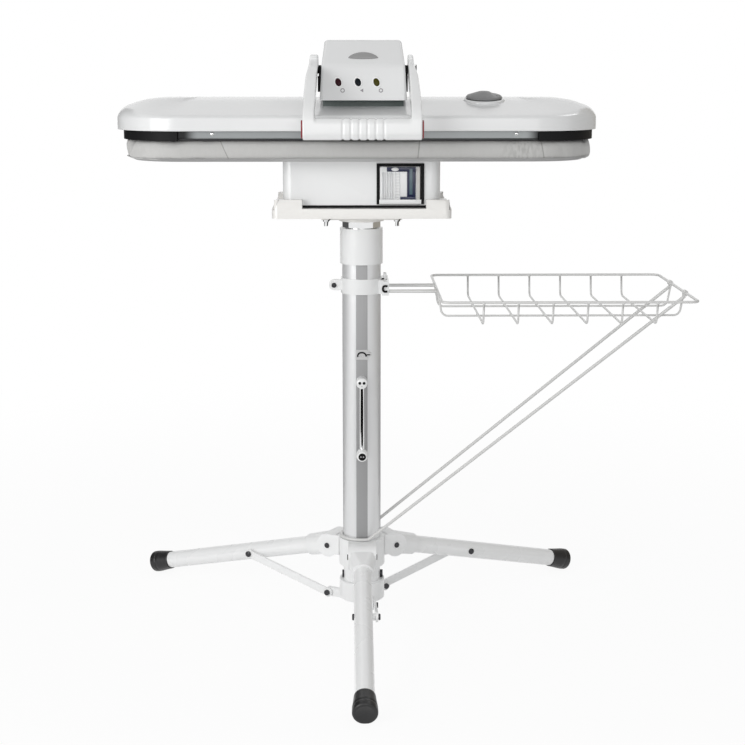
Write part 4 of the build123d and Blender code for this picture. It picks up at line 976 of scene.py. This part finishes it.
# Handle
# A white yoke whose flat arms turn on studs in the console, with a ribbed grip bar and red end discs.
red = finish_with(moulded_grain, "red_moulding", (0.28, 0.018, 0.026), 0.3, 800, 40, 0.08, 0.1, 0.00005)
source = bmesh.new()
source.from_mesh(frame["nodes"]["handle_yoke"].data)
bmesh.ops.remove_doubles(source, verts=source.verts, dist=2e-6)
yoke_mesh = bpy.data.meshes.new("yoke_start")
source.to_mesh(yoke_mesh)
source.free()
yoke_mesh = evened(yoke_mesh, 0.0013)
yoke = bmesh.new()
yoke.from_mesh(yoke_mesh)
grip_y = -0.195
grip_z = 0.9005
for _ in range(7):
    bmesh.ops.smooth_vert(yoke, verts=yoke.verts, factor=0.5, use_axis_x=True, use_axis_y=True, use_axis_z=True)
for vert in yoke.verts:
    co = vert.co
    if co.y < -0.172 and abs(co.x - console_x) < 0.041:
        wave = math.cos((co.x - console_x + 0.0345) / 0.0134 * math.tau)
        groove = max(0.0, wave - 0.35) / 0.65
        way = Vector((0, co.y - grip_y, co.z - grip_z))
        if way.length > 1e-6:
            vert.co = co - way.normalized() * 0.0013 * groove
made(yoke, "handle_moulding", white_gloss, "handle", "white_plastic", ["handle_yoke"], angle=80)
finished("handle_accents", red, "red_plastic", 0.0004)

# Basket
# Coated steel wire, spot welded: a rim, six ribs, two long rods and one brace wire that hooks over the far rail.
# A moulded clamp ring with a bolt holds it on the column.
wire_coat = finish_with(moulded_grain, "wire_coat", (0.74, 0.74, 0.73), 0.28, 1200, 40, 0.06, 0.1, 0.00005,
                        Coat_Weight=0.3)
finished("clamp_ring", white_gloss, "white_plastic", 0.0012, 3)
finished("clamp_bolt", bolt_metal, "dark_metal", 0.0005)
for node in ("basket_rim", "basket_ribs", "basket_rods", "basket_brace"):
    finished(node, wire_coat, "wire")
basket_z = 0.612
rib_first = 0.2039
rib_pitch = 0.4330 * 0.1354
welds = bmesh.new()
weld_places = [(rib_first + rib_pitch * n, y, basket_z - 0.0395) for n in range(6) for y in (-0.052, 0.052)]
weld_places += [(rib_first + rib_pitch * n, y, basket_z - 0.0016) for n in range(6) for y in (-0.167, 0.167)]
weld_places += [(x, y, basket_z - 0.0016) for x in (0.134, 0.567) for y in (-0.052, 0.052)]
for place in weld_places:
    bmesh.ops.create_uvsphere(welds, u_segments=10, v_segments=6, radius=1.0, matrix=Matrix.Translation(place)
                              @ Matrix.Diagonal((0.0028, 0.0028, 0.0026, 1)))
made(welds, "basket_welds", wire_coat, "basket", "wire", angle=80)
bracket_x = 0.0365
clamp_clip = wire([(bracket_x + 0.0085, -0.0418, 0.6215), (bracket_x + 0.0045, -0.0424, 0.6228),
                   (bracket_x + 0.0008, -0.0424, 0.6200), (bracket_x + 0.0008, -0.0424, 0.6140),
                   (bracket_x + 0.0045, -0.0424, 0.6112), (bracket_x + 0.0085, -0.0418, 0.6125)], 0.0019)
made(clamp_clip, "clamp_clip", dark_end, "basket", "dark_metal", angle=80)
for number, (x, z) in enumerate(((0.0378, 0.6420), (0.0442, 0.6405))):
    pin = spun([(0.0, 0.0010), (0.0014, 0.0008), (0.0018, 0.0002), (0.0018, -0.0012), (0.0, -0.0012)], 20)
    bmesh.ops.transform(pin, matrix=Matrix.Translation((x, -0.0100, z - 0.0120)) @ facing_user, verts=pin.verts)
    made(pin, "clamp_pin_%d" % number, dark_end, "basket", "dark_metal", angle=60)

# Studio
# A pale floor, a white surround and soft lamps from the left and above, with the camera at the user's eye level.
floor_mesh = bmesh.new()
bmesh.ops.create_grid(floor_mesh, x_segments=2, y_segments=2, size=30.0)
mesh = bpy.data.meshes.new("floor")
floor_mesh.to_mesh(mesh)
floor_mesh.free()
floor = bpy.data.objects.new("floor", mesh)
bpy.context.scene.collection.objects.link(floor)


def seen_rays(tree):
    """One for rays from the camera, a mirror or glass, and nothing for the rest."""
    light = add(tree, "ShaderNodeLightPath")
    first = add(tree, "ShaderNodeMath", operation="MAXIMUM")
    second = add(tree, "ShaderNodeMath", operation="MAXIMUM")
    tree.links.new(light.outputs["Is Camera Ray"], first.inputs[0])
    tree.links.new(light.outputs["Is Glossy Ray"], first.inputs[1])
    tree.links.new(first.outputs[0], second.inputs[0])
    tree.links.new(light.outputs["Is Transmission Ray"], second.inputs[1])
    return second.outputs[0]


def mixed(tree, factor, plain, bright):
    """Mix a bright shader over a plain one."""
    mix = add(tree, "ShaderNodeMixShader")
    tree.links.new(factor, mix.inputs["Fac"])
    tree.links.new(plain, mix.inputs[1])
    tree.links.new(bright, mix.inputs[2])
    return mix.outputs[0]


floor_paint = bpy.data.materials.new("pale_floor")
floor_paint.use_nodes = True
tree = floor_paint.node_tree
tree.nodes.remove(tree.nodes["Principled BSDF"])
plain = add(tree, "ShaderNodeBsdfDiffuse")
plain.inputs["Color"].default_value = (0.9, 0.9, 0.9, 1)
glow = add(tree, "ShaderNodeEmission", Strength=1.0)
glow.inputs["Color"].default_value = (1, 1, 1, 1)
place = add(tree, "ShaderNodeTexCoord")
far = add(tree, "ShaderNodeVectorMath", operation="LENGTH")
tree.links.new(place.outputs["Object"], far.inputs[0])
share = add(tree, "ShaderNodeMapRange", interpolation_type="SMOOTHSTEP")
share.inputs["From Min"].default_value = 0.5
share.inputs["From Max"].default_value = 2.2
share.inputs["To Min"].default_value = 0.93
share.inputs["To Max"].default_value = 1.0
tree.links.new(far.outputs["Value"], share.inputs["Value"])
part_white = add(tree, "ShaderNodeMath", operation="MULTIPLY")
tree.links.new(seen_rays(tree), part_white.inputs[0])
tree.links.new(share.outputs[0], part_white.inputs[1])
top = mixed(tree, part_white.outputs[0], plain.outputs[0], glow.outputs[0])
tree.links.new(top, tree.nodes["Material Output"].inputs["Surface"])
floor.data.materials.append(floor_paint)

world = bpy.data.worlds.new("studio")
bpy.context.scene.world = world
world.use_nodes = True
tree = world.node_tree
dim = tree.nodes["Background"]
dim.inputs["Color"].default_value = (1.0, 1.0, 1.0, 1)
dim.inputs["Strength"].default_value = 0.52
bright = add(tree, "ShaderNodeBackground", Strength=1.0)
bright.inputs["Color"].default_value = (1, 1, 1, 1)
tree.links.new(mixed(tree, seen_rays(tree), dim.outputs[0], bright.outputs[0]), tree.nodes["World Output"].inputs["Surface"])


def soft_lamp(name, place, target, size, power):
    """A square soft lamp that looks at a point."""
    data = bpy.data.lights.new(name, "AREA")
    data.energy = power
    data.size = size
    lamp = bpy.data.objects.new(name, data)
    lamp.location = place
    way = Vector(target) - Vector(place)
    lamp.rotation_euler = way.to_track_quat("-Z", "Y").to_euler()
    bpy.context.scene.collection.objects.link(lamp)
    return lamp


soft_lamp("key_lamp", (-1.9, -1.9, 1.2), (0, 0, 0.7), 1.4, 27)
soft_lamp("front_lamp", (0.3, -3.0, 1.4), (0, 0, 0.7), 1.5, 10)
soft_lamp("rim_lamp", (1.3, 0.8, 2.5), (0.3, 0, 0.9), 0.5, 3)


def dark_card(name, tone, corners):
    """A card that shows only in gloss, so that bright metal has something dark to mirror."""
    bm = bmesh.new()
    bm.faces.new([bm.verts.new(corner) for corner in corners])
    mesh = bpy.data.meshes.new(name)
    bm.to_mesh(mesh)
    bm.free()
    paper = bpy.data.materials.new(name)
    paper.use_nodes = True
    paper.node_tree.nodes.remove(paper.node_tree.nodes["Principled BSDF"])
    plain = add(paper.node_tree, "ShaderNodeEmission", Strength=1.0)
    plain.inputs["Color"].default_value = (*tone, 1)
    paper.node_tree.links.new(plain.outputs[0], paper.node_tree.nodes["Material Output"].inputs["Surface"])
    mesh.materials.append(paper)
    card = bpy.data.objects.new(name, mesh)
    for kind in ("camera", "diffuse", "shadow", "transmission", "volume_scatter"):
        setattr(card, "visible_" + kind, False)
    bpy.context.scene.collection.objects.link(card)


dark_card("card_front", (0.01, 0.01, 0.01), [(-0.6, -2.7, 0.01), (0.6, -2.7, 0.01), (1.9, -0.8, 0.01), (-1.9, -0.8, 0.01)])
dark_card("card_back", (0.12, 0.12, 0.12), [(-2.4, 0.4, 0.01), (2.4, 0.4, 0.01), (2.4, 3.2, 0.01), (-2.4, 3.2, 0.01)])
dark_card("card_left", (0.10, 0.10, 0.10), [(-2.6, -0.4, 0), (-1.6, 3.0, 0), (-1.6, 3.0, 3.0), (-2.6, -0.4, 3.0)])
dark_card("card_right", (0.36, 0.335, 0.29), [(2.4, -0.8, 0), (1.6, 3.0, 0), (1.6, 3.0, 3.0), (2.4, -0.8, 3.0)])

camera_data = bpy.data.cameras.new("camera")
camera_data.lens = 70.05
camera_data.sensor_width = 36.0
camera = bpy.data.objects.new("camera", camera_data)
camera.location = (-0.0251, -2.5673, 0.9972)
camera.rotation_euler = (math.radians(78.14), 0.0, math.radians(-1.0))
bpy.context.scene.collection.objects.link(camera)
bpy.context.scene.camera = camera
bpy.context.scene.view_settings.view_transform = "Standard"
